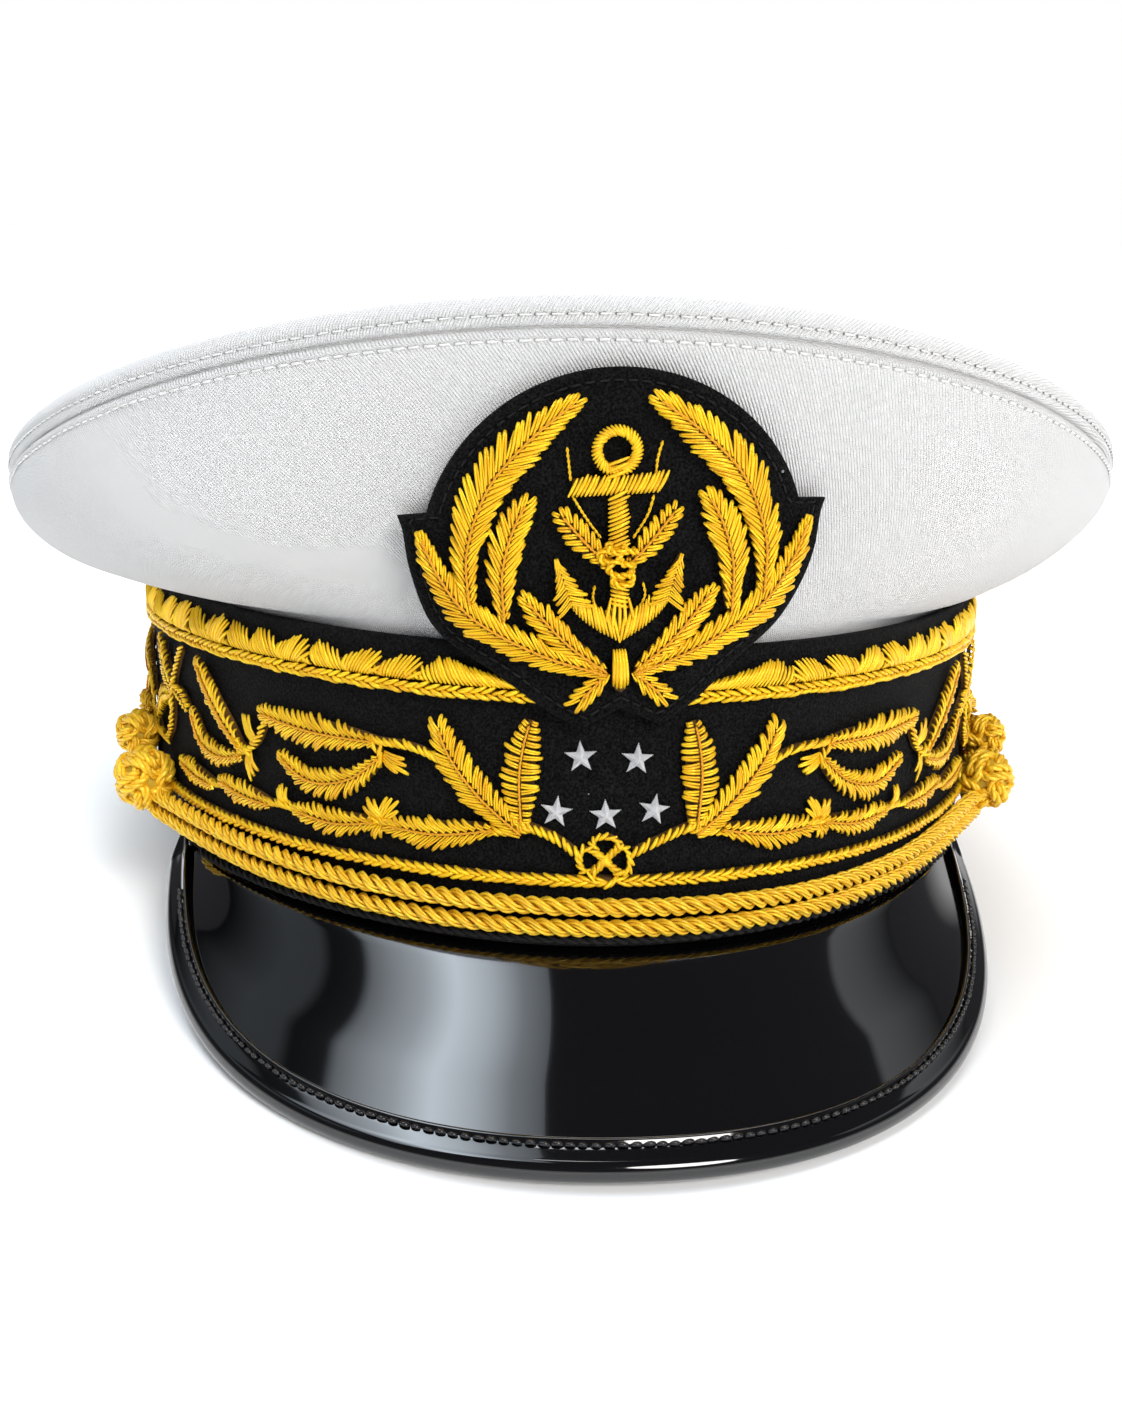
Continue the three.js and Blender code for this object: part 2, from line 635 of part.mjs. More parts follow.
function anchor() {
  const ring = wrap(new THREE.TorusGeometry(2.95, 0.72, 5, 10), (u, w, proud) => (
    onBadge(u, 15.9 + w, GAP + 1.2 + proud)
  ));
  const pieces = [
    ring,
    strip(onBadge, [[-7, 10.9], [0, 11], [7, 11.1]], () => 3.2, GAP, 1.8, 4),
    strip(onBadge, [[0, 13.8], [0, 0], [0, -11.6]], () => 2.8, GAP + 0.1, 2, 5),
    strip(onBadge, ANCHOR_ARMS, (t) => mix(1.6, 3.4, sin(PI * t)), GAP + 0.2, 1.9, 8),
  ];
  for (const side of [-1, 1]) {
    const place = (u, w, proud) => onBadge(side * u, w, proud);
    pieces.push(leaf(place, [[0.4, -2], [4.6, 2.4], [8.7, 7.3]], 3.8, RAISE.leaf));
    const head = FLUKE.map(([u, w]) => place(u, w, GAP));
    pieces.push(loft([head, [place(7.7, -4.2, GAP + 1.6)]]));
  }
  return fuse(pieces);
}

// Chin cord

// Height of a run of the cord on the band, level in front and climbing to the knot
const cordRuns = {
  upper: (arc) => 6.8 + 2.1 * abs(arc / 100) ** 3,
  lower: (arc) => 3.3 + 1.9 * abs(arc / 100) ** 3,
};

function circle(radius, sides) {
  return new THREE.Shape(Array.from({ length: sides }, (_, i) => {
    const turn = (i / sides) * 2 * PI;
    return new THREE.Vector2(radius * cos(turn), radius * sin(turn));
  }));
}

function tube(points, radius, sides, steps) {
  const extrudePath = new THREE.CatmullRomCurve3(points);
  return new THREE.ExtrudeGeometry(circle(radius, sides), { steps, extrudePath, bevelEnabled: false });
}

function cordRun(heightAt) {
  const seat = CORD.radius + GAP;
  const endRise = 2.6;
  const points = spread(-CORD.end, CORD.end, 24).map((arc) => (
    onBand(arc, heightAt(arc), seat + endRise * (arc / CORD.end) ** 8)
  ));
  return tube(points, CORD.radius, CORD.sides, CORD.steps);
}

function cordKnot(side) {
  const { radius } = KNOT;
  return wrap(new THREE.SphereGeometry(radius, 10, 6), (x, y, z) => (
    onBand(side * KNOT.arc + x * 0.92, KNOT.height + y * 1.05, radius + GAP + 0.5 + z)
  ));
}

// End loop of the cord round the side button, open towards the knot
function cordLoop(side) {
  const radius = BUTTON.radius + CORD.radius + GAP;
  const points = spread(radians(-152), radians(124), 9).map((turn) => onBand(
    side * (BUTTON.arc + radius * cos(turn)),
    BUTTON.height + radius * sin(turn),
    CORD.radius + SEAT,
  ));
  return tube(points, CORD.radius, CORD.sides, 10);
}

function button(side) {
  const { radius, depth, arc, height } = BUTTON;
  const profile = [[0, 0], [radius - 0.6, 0], [radius, 0.8], [radius * 0.86, depth * 0.6],
    [radius * 0.5, depth * 0.92], [0, depth]];
  const lathe = new THREE.LatheGeometry(profile.map(([x, y]) => new THREE.Vector2(x, y)), 12);
  return wrap(lathe, (x, y, z) => onBand(side * arc + x, height + z, SEAT + y));
}

// Materials
const finish = (color, roughness, metalness = 0) => new THREE.MeshStandardMaterial({
  color, roughness, metalness,
});
const whiteCloth = finish(0xf1f1f2, 0.9);
const blackCloth = finish(0x101012, 0.95);
const patentLeather = finish(0x0a0a0b, 0.12);
const goldThread = finish(0xe9b52c, 0.42, 0.6);
const silverThread = finish(0xd9dade, 0.4, 0.5);
const gilt = finish(0xd9a530, 0.3, 1);

// Assembly, in the frame of the band
const cap = new THREE.Group();
const meshes = {};
function add(name, geometry, material) {
  const mesh = new THREE.Mesh(geometry, material);
  mesh.name = name;
  meshes[name] = mesh;
  cap.add(mesh);
}

add('crown_top', crownTop(), whiteCloth);
add('crown_side', crownSide(), whiteCloth);
add('band', band(), blackCloth);
add('peak', peak(), patentLeather);
add('peak_binding', peakBinding(), patentLeather);
add('badge_backing', badgeBacking(), blackCloth);
add('wreath_tie', wreathTie(), goldThread);
add('anchor', anchor(), goldThread);
add('lower_braid', lowerBraid(), goldThread);
STARS.forEach(([arc, height], i) => add(`star_${i + 1}`, star(arc, height), silverThread));
add('cord_upper', cordRun(cordRuns.upper), goldThread);
add('cord_lower', cordRun(cordRuns.lower), goldThread);
for (const [name, side] of [['left', -1], ['right', 1]]) {
  add(`wreath_${name}`, wreath(side), goldThread);
  add(`border_${name}`, border(side), goldThread);
  add(`spray_${name}`, spray(side), goldThread);
  add(`side_spray_${name}`, sideSpray(side), goldThread);
  add(`cord_knot_${name}`, cordKnot(side), goldThread);
  add(`cord_loop_${name}`, cordLoop(side), goldThread);
  add(`button_${name}`, button(side), gilt);
}

// Rest: the cap leans back until the rim of the peak and the back of the band are level
function lowestAt(name, lean) {
  const source = meshes[name].geometry.attributes.position;
  let lowest = Infinity;
  for (let i = 0; i < source.count; i++) {
    lowest = min(lowest, source.getY(i) * sin(lean) + source.getZ(i) * cos(lean));
  }
  return lowest;
}
let [steep, level] = [radians(-15), 0];
for (let i = 0; i < 40; i++) {
  const middle = (steep + level) / 2;
  if (lowestAt('peak_binding', middle) < lowestAt('band', middle)) level = middle;
  else steep = middle;
}
cap.rotation.x = level;

// Origin: the middle of the foot of the whole cap
const extent = new THREE.Box3().setFromObject(cap, true);
const middle = extent.getCenter(vector(0, 0, 0));
cap.position.set(-middle.x, -middle.y, -extent.min.z);

const model = new THREE.Group();
model.add(cap);

export default model;
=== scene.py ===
import math

import bmesh
import bpy
import numpy as np
from mathutils import Matrix, Vector


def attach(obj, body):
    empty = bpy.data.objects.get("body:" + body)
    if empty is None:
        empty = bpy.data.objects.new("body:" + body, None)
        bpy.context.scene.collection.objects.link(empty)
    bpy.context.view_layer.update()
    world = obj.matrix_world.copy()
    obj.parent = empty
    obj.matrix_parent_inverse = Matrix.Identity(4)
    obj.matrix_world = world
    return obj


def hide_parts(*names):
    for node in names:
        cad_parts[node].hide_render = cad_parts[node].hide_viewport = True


bl_info = {
    "name": "Officer's Peaked Cap",
    "version": (1, 0, 0),
    "blender": (4, 5, 0),
    "location": "View3D > Sidebar > Cap",
    "description": "White cloth cap with bullion embroidery, a gold chin cord and a patent leather peak",
    "category": "Object",
}

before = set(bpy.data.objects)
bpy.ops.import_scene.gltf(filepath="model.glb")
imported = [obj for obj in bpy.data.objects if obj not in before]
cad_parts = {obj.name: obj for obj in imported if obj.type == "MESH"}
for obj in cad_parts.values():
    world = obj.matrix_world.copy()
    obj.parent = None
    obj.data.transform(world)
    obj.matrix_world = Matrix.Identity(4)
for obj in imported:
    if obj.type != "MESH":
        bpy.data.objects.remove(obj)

# Sizes in millimetres, in the cap's own frame: the foot of the band level, the front towards -Y

GAP = 0.3
BAND = {"width": 86.0, "depth": 103.2, "square": -0.05, "height": 47.5, "taper": 0.014, "wall": 2.0}
RIM = {"width": 113.4, "depth": 124.8, "back": 15.4, "square": 0.055}
RIM_SIDE, RIM_RISE, RIM_FRONT_BOW, RIM_BACK_BOW = 58.0, 23.0, 14.6, 22.0
COVER = {"wall": 1.5, "lift": 0.8, "tuck": 6, "lip": 2.6, "roll": 1.5, "dome": 4.0}
# Fullness of the side panel, and how much it sags low on its left and lies flatter on its right
FULLNESS = {"all": 0.62, "left_sag": 0.32, "right_flat": 0.21}
ROUND_STEPS = 288
PEAK = {"length": 40.1, "angle": 68.5, "blunt": 2.63, "taper": 1.43, "wall": 2.0, "crown": 1.0}
PEAK_FRONT_SLOPE, PEAK_SIDE_SLOPE = 34.0, 12.5
BADGE = {"x": -0.5, "z": 62.0, "turn": 3.5, "wall": 2.0, "arc": 29.4, "arc_centre": -1.7}
HALF_TURN = math.pi
UPRIGHT = np.array([0.0, 0.0, 1.0])

# How the cap rests: leaned back, then set on the floor
LEAN = -0.1060249351560281
SHIFT = np.array([0.0, -4.451899525548285, 10.921284568942056])


def settled(points):
    """Places of the cap's own frame, in the frame of the part and in metres."""
    points = np.asarray(points, float)
    x, y, z = points[..., 0], points[..., 1], points[..., 2]
    lean = np.stack([x, y * math.cos(LEAN) - z * math.sin(LEAN), y * math.sin(LEAN) + z * math.cos(LEAN)], -1)
    return (lean + SHIFT) * 0.001


def unit(vectors):
    """The vectors at length one."""
    return vectors / np.maximum(np.linalg.norm(vectors, axis=-1, keepdims=True), 1e-12)


def ease(value, low, high):
    """Smooth step from 0 to 1."""
    t = np.clip((value - low) / (high - low), 0, 1)
    return t * t * (3 - 2 * t)


def turn_angles(count):
    """Angles of a full turn, evenly spaced."""
    return np.linspace(0, 2 * math.pi, count, endpoint=False)


def smooth(points, steps):
    """Places on a smooth line through the points, with a number of steps from each to the next."""
    p = np.asarray(points, float)
    step = np.diff(p, axis=-2)
    gap = np.maximum(np.linalg.norm(step, axis=-1, keepdims=True), 1e-9) ** 0.5
    slope = step / gap
    before, after = gap[..., :-1, :], gap[..., 1:, :]
    inner = (slope[..., :-1, :] * after + slope[..., 1:, :] * before) / (before + after)
    tangent = np.concatenate([slope[..., :1, :], inner, slope[..., -1:, :]], axis=-2)
    t = np.linspace(0, 1, steps, endpoint=False)[:, None]
    a, b = p[..., :-1, None, :], p[..., 1:, None, :]
    leave = tangent[..., :-1, None, :] * gap[..., None, :]
    arrive = tangent[..., 1:, None, :] * gap[..., None, :]
    line = (2 * t**3 - 3 * t**2 + 1) * a + (t**3 - 2 * t**2 + t) * leave
    line = line + (3 * t**2 - 2 * t**3) * b + (t**3 - t**2) * arrive
    line = line.reshape(*p.shape[:-2], -1, p.shape[-1])
    return np.concatenate([line, p[..., -1:, :]], axis=-2)


# Surfaces of the cap: angle 0 is the front, arc is the way round the band from there


def oval(angle, width, depth, square, back, height):
    """Place on an oval at an angle from the front."""
    s, c = np.sin(angle), np.cos(angle)
    x = width * s * (1 + square * c * c)
    y = back - depth * c * (1 + square * s * s)
    return np.stack([x, y, height + 0 * s], -1)


def outward(curve, angle):
    """Level direction that points away from the cap."""
    along = curve(angle + 0.001) - curve(angle - 0.001)
    return unit(np.stack([along[..., 1], -along[..., 0], 0 * along[..., 0]], -1))


def band_point(angle, height, proud=0.0):
    """Place on the band, and at a distance from its cloth."""
    angle, height, proud = np.broadcast_arrays(*(np.asarray(v, float) for v in (angle, height, proud)))
    inset = BAND["taper"] * height

    def curve(a):
        return oval(a, BAND["width"] - inset, BAND["depth"] - inset, BAND["square"], 0, height)

    return curve(angle) + outward(curve, angle) * proud[..., None]


def rim_height(angle):
    """Height of the seam round the crown."""
    c = np.cos(angle)
    return RIM_SIDE + RIM_RISE * c + np.where(c > 0, RIM_FRONT_BOW, RIM_BACK_BOW) * c * c


def rim_point(angle, proud=0.0, rise=0.0):
    """Place at the seam round the crown, moved out and up; the left side stands out 1 mm further."""
    angle, proud, rise = np.broadcast_arrays(*(np.asarray(v, float) for v in (angle, proud, rise)))
    height = rim_height(angle)

    def curve(a):
        return oval(a, RIM["width"], RIM["depth"], RIM["square"], RIM["back"], height)

    moved = np.stack([-ease(-np.sin(angle), 0.4, 1.0), 0 * rise, rise], -1)
    return curve(angle) + outward(curve, angle) * proud[..., None] + moved


ARC_ANGLES = np.linspace(0, HALF_TURN, 721)
ARCS = np.concatenate(
    [[0], np.cumsum(np.linalg.norm(np.diff(band_point(ARC_ANGLES, BAND["height"] / 2), axis=0), axis=1))]
)
HALF_GIRTH = ARCS[-1]


def on_band(arc, height, proud):
    """Place on the band by its arc from the front, its height and its distance from the cloth."""
    return band_point(np.sign(arc) * np.interp(np.abs(arc), ARCS, ARC_ANGLES), height, proud)


def front_at(angle, z, proud):
    """Front of the cap at an angle: the band, and above it a straight line to the rim."""
    low = band_point(angle, np.minimum(z, BAND["height"]), proud)
    high = rim_point(angle, proud, -COVER["roll"])
    share = np.maximum(z - low[..., 2], 0) / (high[..., 2] - low[..., 2])
    return low + (high - low) * share[..., None]


FIT_ROUNDS = 20


def on_front(x, z, proud):
    """Place on the front of the cap, by x and z."""
    x, z, proud = np.broadcast_arrays(*(np.asarray(v, float) for v in (x, z, proud)))
    angle = np.arcsin(x / BAND["width"])
    for _ in range(FIT_ROUNDS):
        angle = angle + (x - front_at(angle, z, proud)[..., 0]) / BAND["width"]
    return front_at(angle, z, proud)


def on_badge(u, w, proud):
    """Place on the felt badge by its own turned axes."""
    turn = math.radians(BADGE["turn"])
    x = BADGE["x"] + u * math.cos(turn) - w * math.sin(turn)
    z = BADGE["z"] + u * math.sin(turn) + w * math.cos(turn)
    return on_front(x, z, GAP + BADGE["wall"] + proud)


# Node trees


class Socket:
    """Output of a node, with arithmetic that adds Math nodes."""

    def __init__(self, tree, socket):
        self.tree = tree
        self.socket = socket

    def other(self, name):
        """Another output of the same node."""
        return Socket(self.tree, self.socket.node.outputs[name])

    def math(self, operation, *values):
        """Math node on some values."""
        return self.tree.add("ShaderNodeMath", {"operation": operation}, dict(enumerate(values)))

    def __add__(self, value):
        return self.math("ADD", self, value)

    def __sub__(self, value):
        return self.math("SUBTRACT", self, value)

    def __rsub__(self, value):
        return self.math("SUBTRACT", value, self)

    def __mul__(self, value):
        return self.math("MULTIPLY", self, value)

    def __truediv__(self, value):
        return self.math("DIVIDE", self, value)

    def __pow__(self, value):
        return self.math("POWER", self, value)

    def __gt__(self, value):
        return self.math("GREATER_THAN", self, value)

    def __lt__(self, value):
        return self.math("LESS_THAN", self, value)

    __radd__ = __add__
    __rmul__ = __mul__

    def sin(self):
        return self.math("SINE", self)

    def floor(self):
        return self.math("FLOOR", self)


class Tree:
    """Node tree with one way to add a node."""

    def __init__(self, tree):
        self.tree = tree

    def add(self, kind, settings=None, inputs=None, output=0):
        """New node: its settings first, then the values or links of its sockets."""
        node = self.tree.nodes.new(kind)
        node.location = (180 * (len(self.tree.nodes) % 12), -220 * (len(self.tree.nodes) // 12))
        for key, value in (settings or {}).items():
            if key == "stops":
                while len(node.color_ramp.elements) < len(value):
                    node.color_ramp.elements.new(1)
                for element, (position, shade) in zip(node.color_ramp.elements, value):
                    element.position = position
                    element.color = shade
            else:
                setattr(node, key, value)
        for key, value in (inputs or {}).items():
            if isinstance(value, Socket):
                self.tree.links.new(value.socket, node.inputs[key])
            else:
                node.inputs[key].default_value = value
        return Socket(self, node.outputs[output]) if len(node.outputs) else node

    def vector(self, operation, *values, output=0):
        """Vector Math node on some values."""
        return self.add("ShaderNodeVectorMath", {"operation": operation}, dict(enumerate(values)), output)

    def scaled(self, vector, factor):
        """Vector times a number."""
        return self.add("ShaderNodeVectorMath", {"operation": "SCALE"}, {0: vector, "Scale": factor})

    def joined(self, x, y, z):
        """Vector of three numbers."""
        return self.add("ShaderNodeCombineXYZ", None, {"X": x, "Y": y, "Z": z})

    def mix(self, factor, a, b):
        """Colour from a to b."""
        return self.add("ShaderNodeMix", {"data_type": "RGBA"}, {0: factor, 6: a, 7: b}, 2)

    def own_place(self):
        """The object's own coordinates."""
        return self.add("ShaderNodeTexCoord", None, None, "Object")

    def clear_behind(self, shader):
        """Output of a surface that is clear from its back."""
        behind = self.add("ShaderNodeNewGeometry", None, None, "Backfacing")
        clear = self.add("ShaderNodeBsdfTransparent")
        mixed = self.add("ShaderNodeMixShader", None, {0: behind, 1: shader, 2: clear})
        self.add("ShaderNodeOutputMaterial", None, {"Surface": mixed})


class Growth(Tree):
    """Geometry Nodes tree with named inputs, ending in Realize Instances and Set Material."""

    def __init__(self, name, sockets):
        super().__init__(bpy.data.node_groups.new(name, "GeometryNodeTree"))
        interface = self.tree.interface
        interface.new_socket("Geometry", in_out="INPUT", socket_type="NodeSocketGeometry")
        for label, kind in sockets:
            interface.new_socket(label, in_out="INPUT", socket_type=f"NodeSocket{kind}")
        interface.new_socket("Material", in_out="INPUT", socket_type="NodeSocketMaterial")
        interface.new_socket("Geometry", in_out="OUTPUT", socket_type="NodeSocketGeometry")
        self.start = self.add("NodeGroupInput")

    def given(self, label):
        """Input of the tree, by its name."""
        return self.start.other(label)

    def attribute(self, label):
        """Named vector of the lines."""
        return self.add("GeometryNodeInputNamedAttribute", {"data_type": "FLOAT_VECTOR"}, {"Name": label})

    def store(self, geometry, label, value, domain="POINT"):
        """The geometry with a named number on it."""
        return self.add(
            "GeometryNodeStoreNamedAttribute",
            {"data_type": "FLOAT", "domain": domain},
            {"Geometry": geometry, "Name": label, "Value": value},
        )

    def chance(self, low, high, offset):
        """Random number that depends on the tree's seed."""
        return self.add(
            "FunctionNodeRandomValue",
            {"data_type": "FLOAT"},
            {2: low, 3: high, "Seed": self.given("Seed") + offset},
            1,
        )

    def end(self, geometry):
        """The finished tree, which gives the geometry as real and smooth faces."""
        real = self.add("GeometryNodeRealizeInstances", None, {"Geometry": geometry})
        soft = self.add("GeometryNodeSetShadeSmooth", None, {"Geometry": real})
        inputs = {"Geometry": soft, "Material": self.given("Material")}
        made = self.add("GeometryNodeSetMaterial", None, inputs)
        self.add("NodeGroupOutput", None, {"Geometry": made})
        return self.tree


# Length of the stitch that is copied, and the wire of a looped stitch as shares of its thickness
STITCH = 0.003
LOOP_HALF_WIDTH, LOOP_WIRE = 0.27, 0.26


def stitch_tree(name, looped, points, sides):
    """Stitches along lines: each reaches as far as the line's own reach says, in an arch over the cloth.

    A looped stitch is a thin wire that turns round at its tip and comes back beside itself.
    """
    numbers = [(label, "Float") for label in ("Pitch", "Thickness", "Arch", "Unevenness")]
    tree = Growth(name, [*numbers, ("Seed", "Int")])
    line = tree.add("GeometryNodeCurvePrimitiveLine", None, {"End": (1, 0, 0)})
    line = tree.add("GeometryNodeResampleCurve", None, {"Curve": line, "Count": points})
    share = tree.add("GeometryNodeSplineParameter")
    line = tree.store(line, "along", share)
    turn = share * math.pi
    cosine = turn.math("COSINE", turn)
    if looped:
        along = turn.sin() ** 0.75
        bent = cosine.math("SIGN", cosine) * cosine.math("ABSOLUTE", cosine) ** 0.6
        aside = bent * tree.given("Thickness") * LOOP_HALF_WIDTH
        width = 0.9 + 0.1 * turn.sin()
        thick = tree.given("Thickness") * LOOP_WIRE
    else:
        along = 0.5 - 0.5 * cosine
        aside = 0.0
        width = 0.42 + 0.58 * turn.sin() ** 0.5
        thick = tree.given("Thickness") / 2
    arch = along * (1 - along) * 4 * tree.given("Arch")
    place = tree.joined(along * STITCH, aside, arch)
    line = tree.add("GeometryNodeSetPosition", None, {"Geometry": line, "Position": place})
    line = tree.add("GeometryNodeSetCurveRadius", None, {"Curve": line, "Radius": width})
    ring = tree.add("GeometryNodeCurvePrimitiveCircle", None, {"Resolution": sides, "Radius": thick})
    section = {"Curve": line, "Profile Curve": ring, "Scale": width, "Fill Caps": True}
    shape = tree.add("GeometryNodeCurveToMesh", None, section)
    rows = tree.add("GeometryNodeMeshToCurve", None, {"Mesh": tree.start})
    rows = tree.add(
        "GeometryNodeResampleCurve", {"mode": "LENGTH"}, {"Curve": rows, "Length": tree.given("Pitch")}
    )
    reach = tree.attribute("reach")
    size = tree.vector("LENGTH", reach, output=1)
    jitter = tree.add(
        "FunctionNodeRandomValue",
        {"data_type": "FLOAT_VECTOR"},
        {0: (-1, -1, -1), 1: (1, 1, 1), "Seed": tree.given("Seed")},
    )
    reach = tree.vector("ADD", reach, tree.scaled(jitter, size * tree.given("Unevenness")))
    turned = tree.add(
        "FunctionNodeAxesToRotation",
        {"primary_axis": "X", "secondary_axis": "Z"},
        {"Primary Axis": reach, "Secondary Axis": tree.attribute("face")},
    )
    fat = tree.chance(0.88, 1.12, 1)
    long = tree.vector("LENGTH", reach, output=1) / STITCH
    sized = tree.joined(long * tree.chance(0.92, 1.06, 2), fat, fat)
    placed = tree.add(
        "GeometryNodeInstanceOnPoints",
        None,
        {"Points": rows, "Instance": shape, "Rotation": turned, "Scale": sized},
    )
    # Tone of each wire, at random: the finish mixes low tones towards a painted shade colour, high ones
    # towards the lit colour.
    return tree.end(tree.store(placed, "tone", tree.chance(0.35, 1.0, 3), "INSTANCE"))


def laid_tree():
    """Twisted cord along lines: strands round the line, each of threads twisted the other way."""
    tree = Growth(
        "laid_strands",
        [
            ("Strands", "Int"),
            ("Strand Offset", "Float"),
            ("Lay", "Float"),
            ("Threads", "Int"),
            ("Thread Offset", "Float"),
            ("Thread Lay", "Float"),
            ("Thread Radius", "Float"),
            ("Step", "Float"),
            ("Seed", "Int"),
        ],
    )
    rows = tree.add("GeometryNodeMeshToCurve", None, {"Mesh": tree.start})
    step = {"Curve": rows, "Length": tree.given("Step")}
    rows = tree.add("GeometryNodeResampleCurve", {"mode": "LENGTH"}, step)
    share = tree.add("GeometryNodeSplineParameter")
    length = tree.add("GeometryNodeSplineLength")
    along = tree.add("GeometryNodeInputTangent")
    out = tree.vector("NORMALIZE", tree.attribute("face"))
    across = tree.vector("NORMALIZE", tree.vector("CROSS_PRODUCT", along, out))
    face = tree.vector("CROSS_PRODUCT", across, along)
    copies = tree.add(
        "GeometryNodeDuplicateElements",
        {"domain": "SPLINE"},
        {"Geometry": rows, "Amount": tree.given("Strands") * tree.given("Threads")},
    )
    number = copies.other("Duplicate Index")
    strand = (number / tree.given("Threads")).floor()
    thread = number - strand * tree.given("Threads")
    turns = (length / tree.given("Lay")).math("ROUND", length / tree.given("Lay"))
    thread_turns = (length / tree.given("Thread Lay")).math("ROUND", length / tree.given("Thread Lay"))
    a = 2 * math.pi * (share * turns + strand / tree.given("Strands"))
    b = 2 * math.pi * (thread / tree.given("Threads") - share * thread_turns)
    cosine, sine = a.math("COSINE", a), a.sin()
    u = tree.vector("ADD", tree.scaled(face, cosine), tree.scaled(across, sine))
    v = tree.vector("SUBTRACT", tree.scaled(across, cosine), tree.scaled(face, sine))
    far = tree.given("Strand Offset") + tree.given("Thread Offset") * b.math("COSINE", b)
    offset = tree.vector("ADD", tree.scaled(u, far), tree.scaled(v, tree.given("Thread Offset") * b.sin()))
    moved = tree.add("GeometryNodeSetPosition", None, {"Geometry": copies, "Offset": offset})
    moved = tree.store(moved, "along", length * share)
    # Tone of each thread, which differs from thread to thread: the finish mixes low tones towards a painted
    # shade colour.
    shade = number * 0.37 + tree.chance(0.0, 1.0, 1) * 0.2
    moved = tree.store(moved, "tone", 0.45 + 0.55 * (shade - shade.floor()))
    ring = tree.add(
        "GeometryNodeCurvePrimitiveCircle", None, {"Resolution": 5, "Radius": tree.given("Thread Radius")}
    )
    section = {"Curve": moved, "Profile Curve": ring, "Fill Caps": True}
    return tree.end(tree.add("GeometryNodeCurveToMesh", None, section))


# Meshes


def new_object(name, mesh):
    """Object of a mesh, in the scene."""
    obj = bpy.data.objects.new(name, mesh)
    bpy.context.scene.collection.objects.link(obj)
    return obj


def skin(name, points, material, wrap=(False, False), caps=False, uv=None):
    """Mesh over a grid of places in rows and columns, closed where it wraps, facing outwards."""
    rows, columns = points.shape[:2]
    r = np.arange(rows if wrap[0] else rows - 1)[:, None]
    c = np.arange(columns if wrap[1] else columns - 1)[None, :]
    r2, c2 = (r + 1) % rows, (c + 1) % columns
    corners = [r * columns + c, r * columns + c2, r2 * columns + c2, r2 * columns + c]
    faces = np.stack(corners, -1).reshape(-1, 4)
    places = settled(points).reshape(-1, 3)
    a, b, d, e = (places[faces[:, k]] for k in range(4))
    volume = (np.cross(b, d) * a).sum() + (np.cross(d, e) * a).sum()
    faces = [list(f) for f in faces]
    if caps:
        faces.append([int(k * columns) for k in range(rows)])
        faces.append([int(k * columns + columns - 1) for k in range(rows)][::-1])
    mesh = bpy.data.meshes.new(name)
    mesh.from_pydata(places.tolist(), [], faces)
    if uv is not None:
        layer = mesh.uv_layers.new(name="UVMap")
        u, v = uv
        grid_r, grid_c = np.broadcast_arrays(r, c)
        corners = [(grid_r, grid_c), (grid_r, grid_c + 1), (grid_r + 1, grid_c + 1), (grid_r + 1, grid_c)]
        pairs = np.stack([np.stack([u[i, j], v[i, j]], -1) for i, j in corners], 2).reshape(-1)
        layer.data.foreach_set("uv", pairs * 0.001)
    if volume < 0:
        mesh.flip_normals()
    mesh.materials.append(material)
    mesh.shade_smooth()
    return mesh


def merged(mesh, distance=1e-6):
    """The mesh with places that fall together made one."""
    work = bmesh.new()
    work.from_mesh(mesh)
    bmesh.ops.remove_doubles(work, verts=work.verts, dist=distance)
    bmesh.ops.dissolve_degenerate(work, edges=work.edges, dist=distance)
    work.to_mesh(mesh)
    work.free()
    return mesh


def padding(section, wrap=(True, False), caps=True):
    """Padding under wires, as a low closed ridge, coloured dark as painted shade between them."""
    return skin("padding", np.stack(section), look("padding_painted_shade"), wrap=wrap, caps=caps)


class Rows:
    """Lines on a surface that stitches or cords follow."""

    def __init__(self, surface):
        self.surface = surface
        self.lines = []

    def place(self, line, proud):
        """Places of a line on the surface, at a distance from the cloth."""
        return self.surface(line[..., 0], line[..., 1], np.asarray(proud, float))

    def stitches(self, start, low, end, high):
        """Stitches that run from one line to the other, at two distances from the cloth."""
        start, end = np.asarray(start, float), np.asarray(end, float)
        foot = settled(self.place(start, low))
        up = settled(self.place(start, np.asarray(low) + 1.0)) - foot
        self.lines.append((foot, settled(self.place(end, high)) - foot, up, False))

    def slanted(self, line, along, across, half, lean, height):
        """Stitches across a line that lean along it."""
        start = line - across * half - along * lean
        self.stitches(start, height, line + across * half + along * lean, height)

    def cord(self, line, proud, closed=False):
        """A cord along a line."""
        line = np.asarray(line, float)
        foot = settled(self.place(line, proud))
        up = settled(self.place(line, np.asarray(proud) + 1.0)) - foot
        self.lines.append((foot, up, up, closed))

    def grown(self, tree, material, **inputs):
        """Plain mesh that the tree makes along the lines."""
        feet, reaches, ups, edges = [], [], [], []
        count = 0
        for foot, reach, up, closed in self.lines:
            n = len(foot)
            feet.append(foot)
            reaches.append(reach)
            ups.append(up)
            edges += [(count + k, count + k + 1) for k in range(n - 1)]
            if closed:
                edges.append((count + n - 1, count))
            count += n
        mesh = bpy.data.meshes.new("lines")
        mesh.from_pydata(np.concatenate(feet).tolist(), edges, [])
        for label, values in (("reach", reaches), ("face", ups)):
            layer = mesh.attributes.new(label, "FLOAT_VECTOR", "POINT")
            layer.data.foreach_set("vector", np.concatenate(values).reshape(-1))
        return evaluated(mesh, tree, material, **inputs)


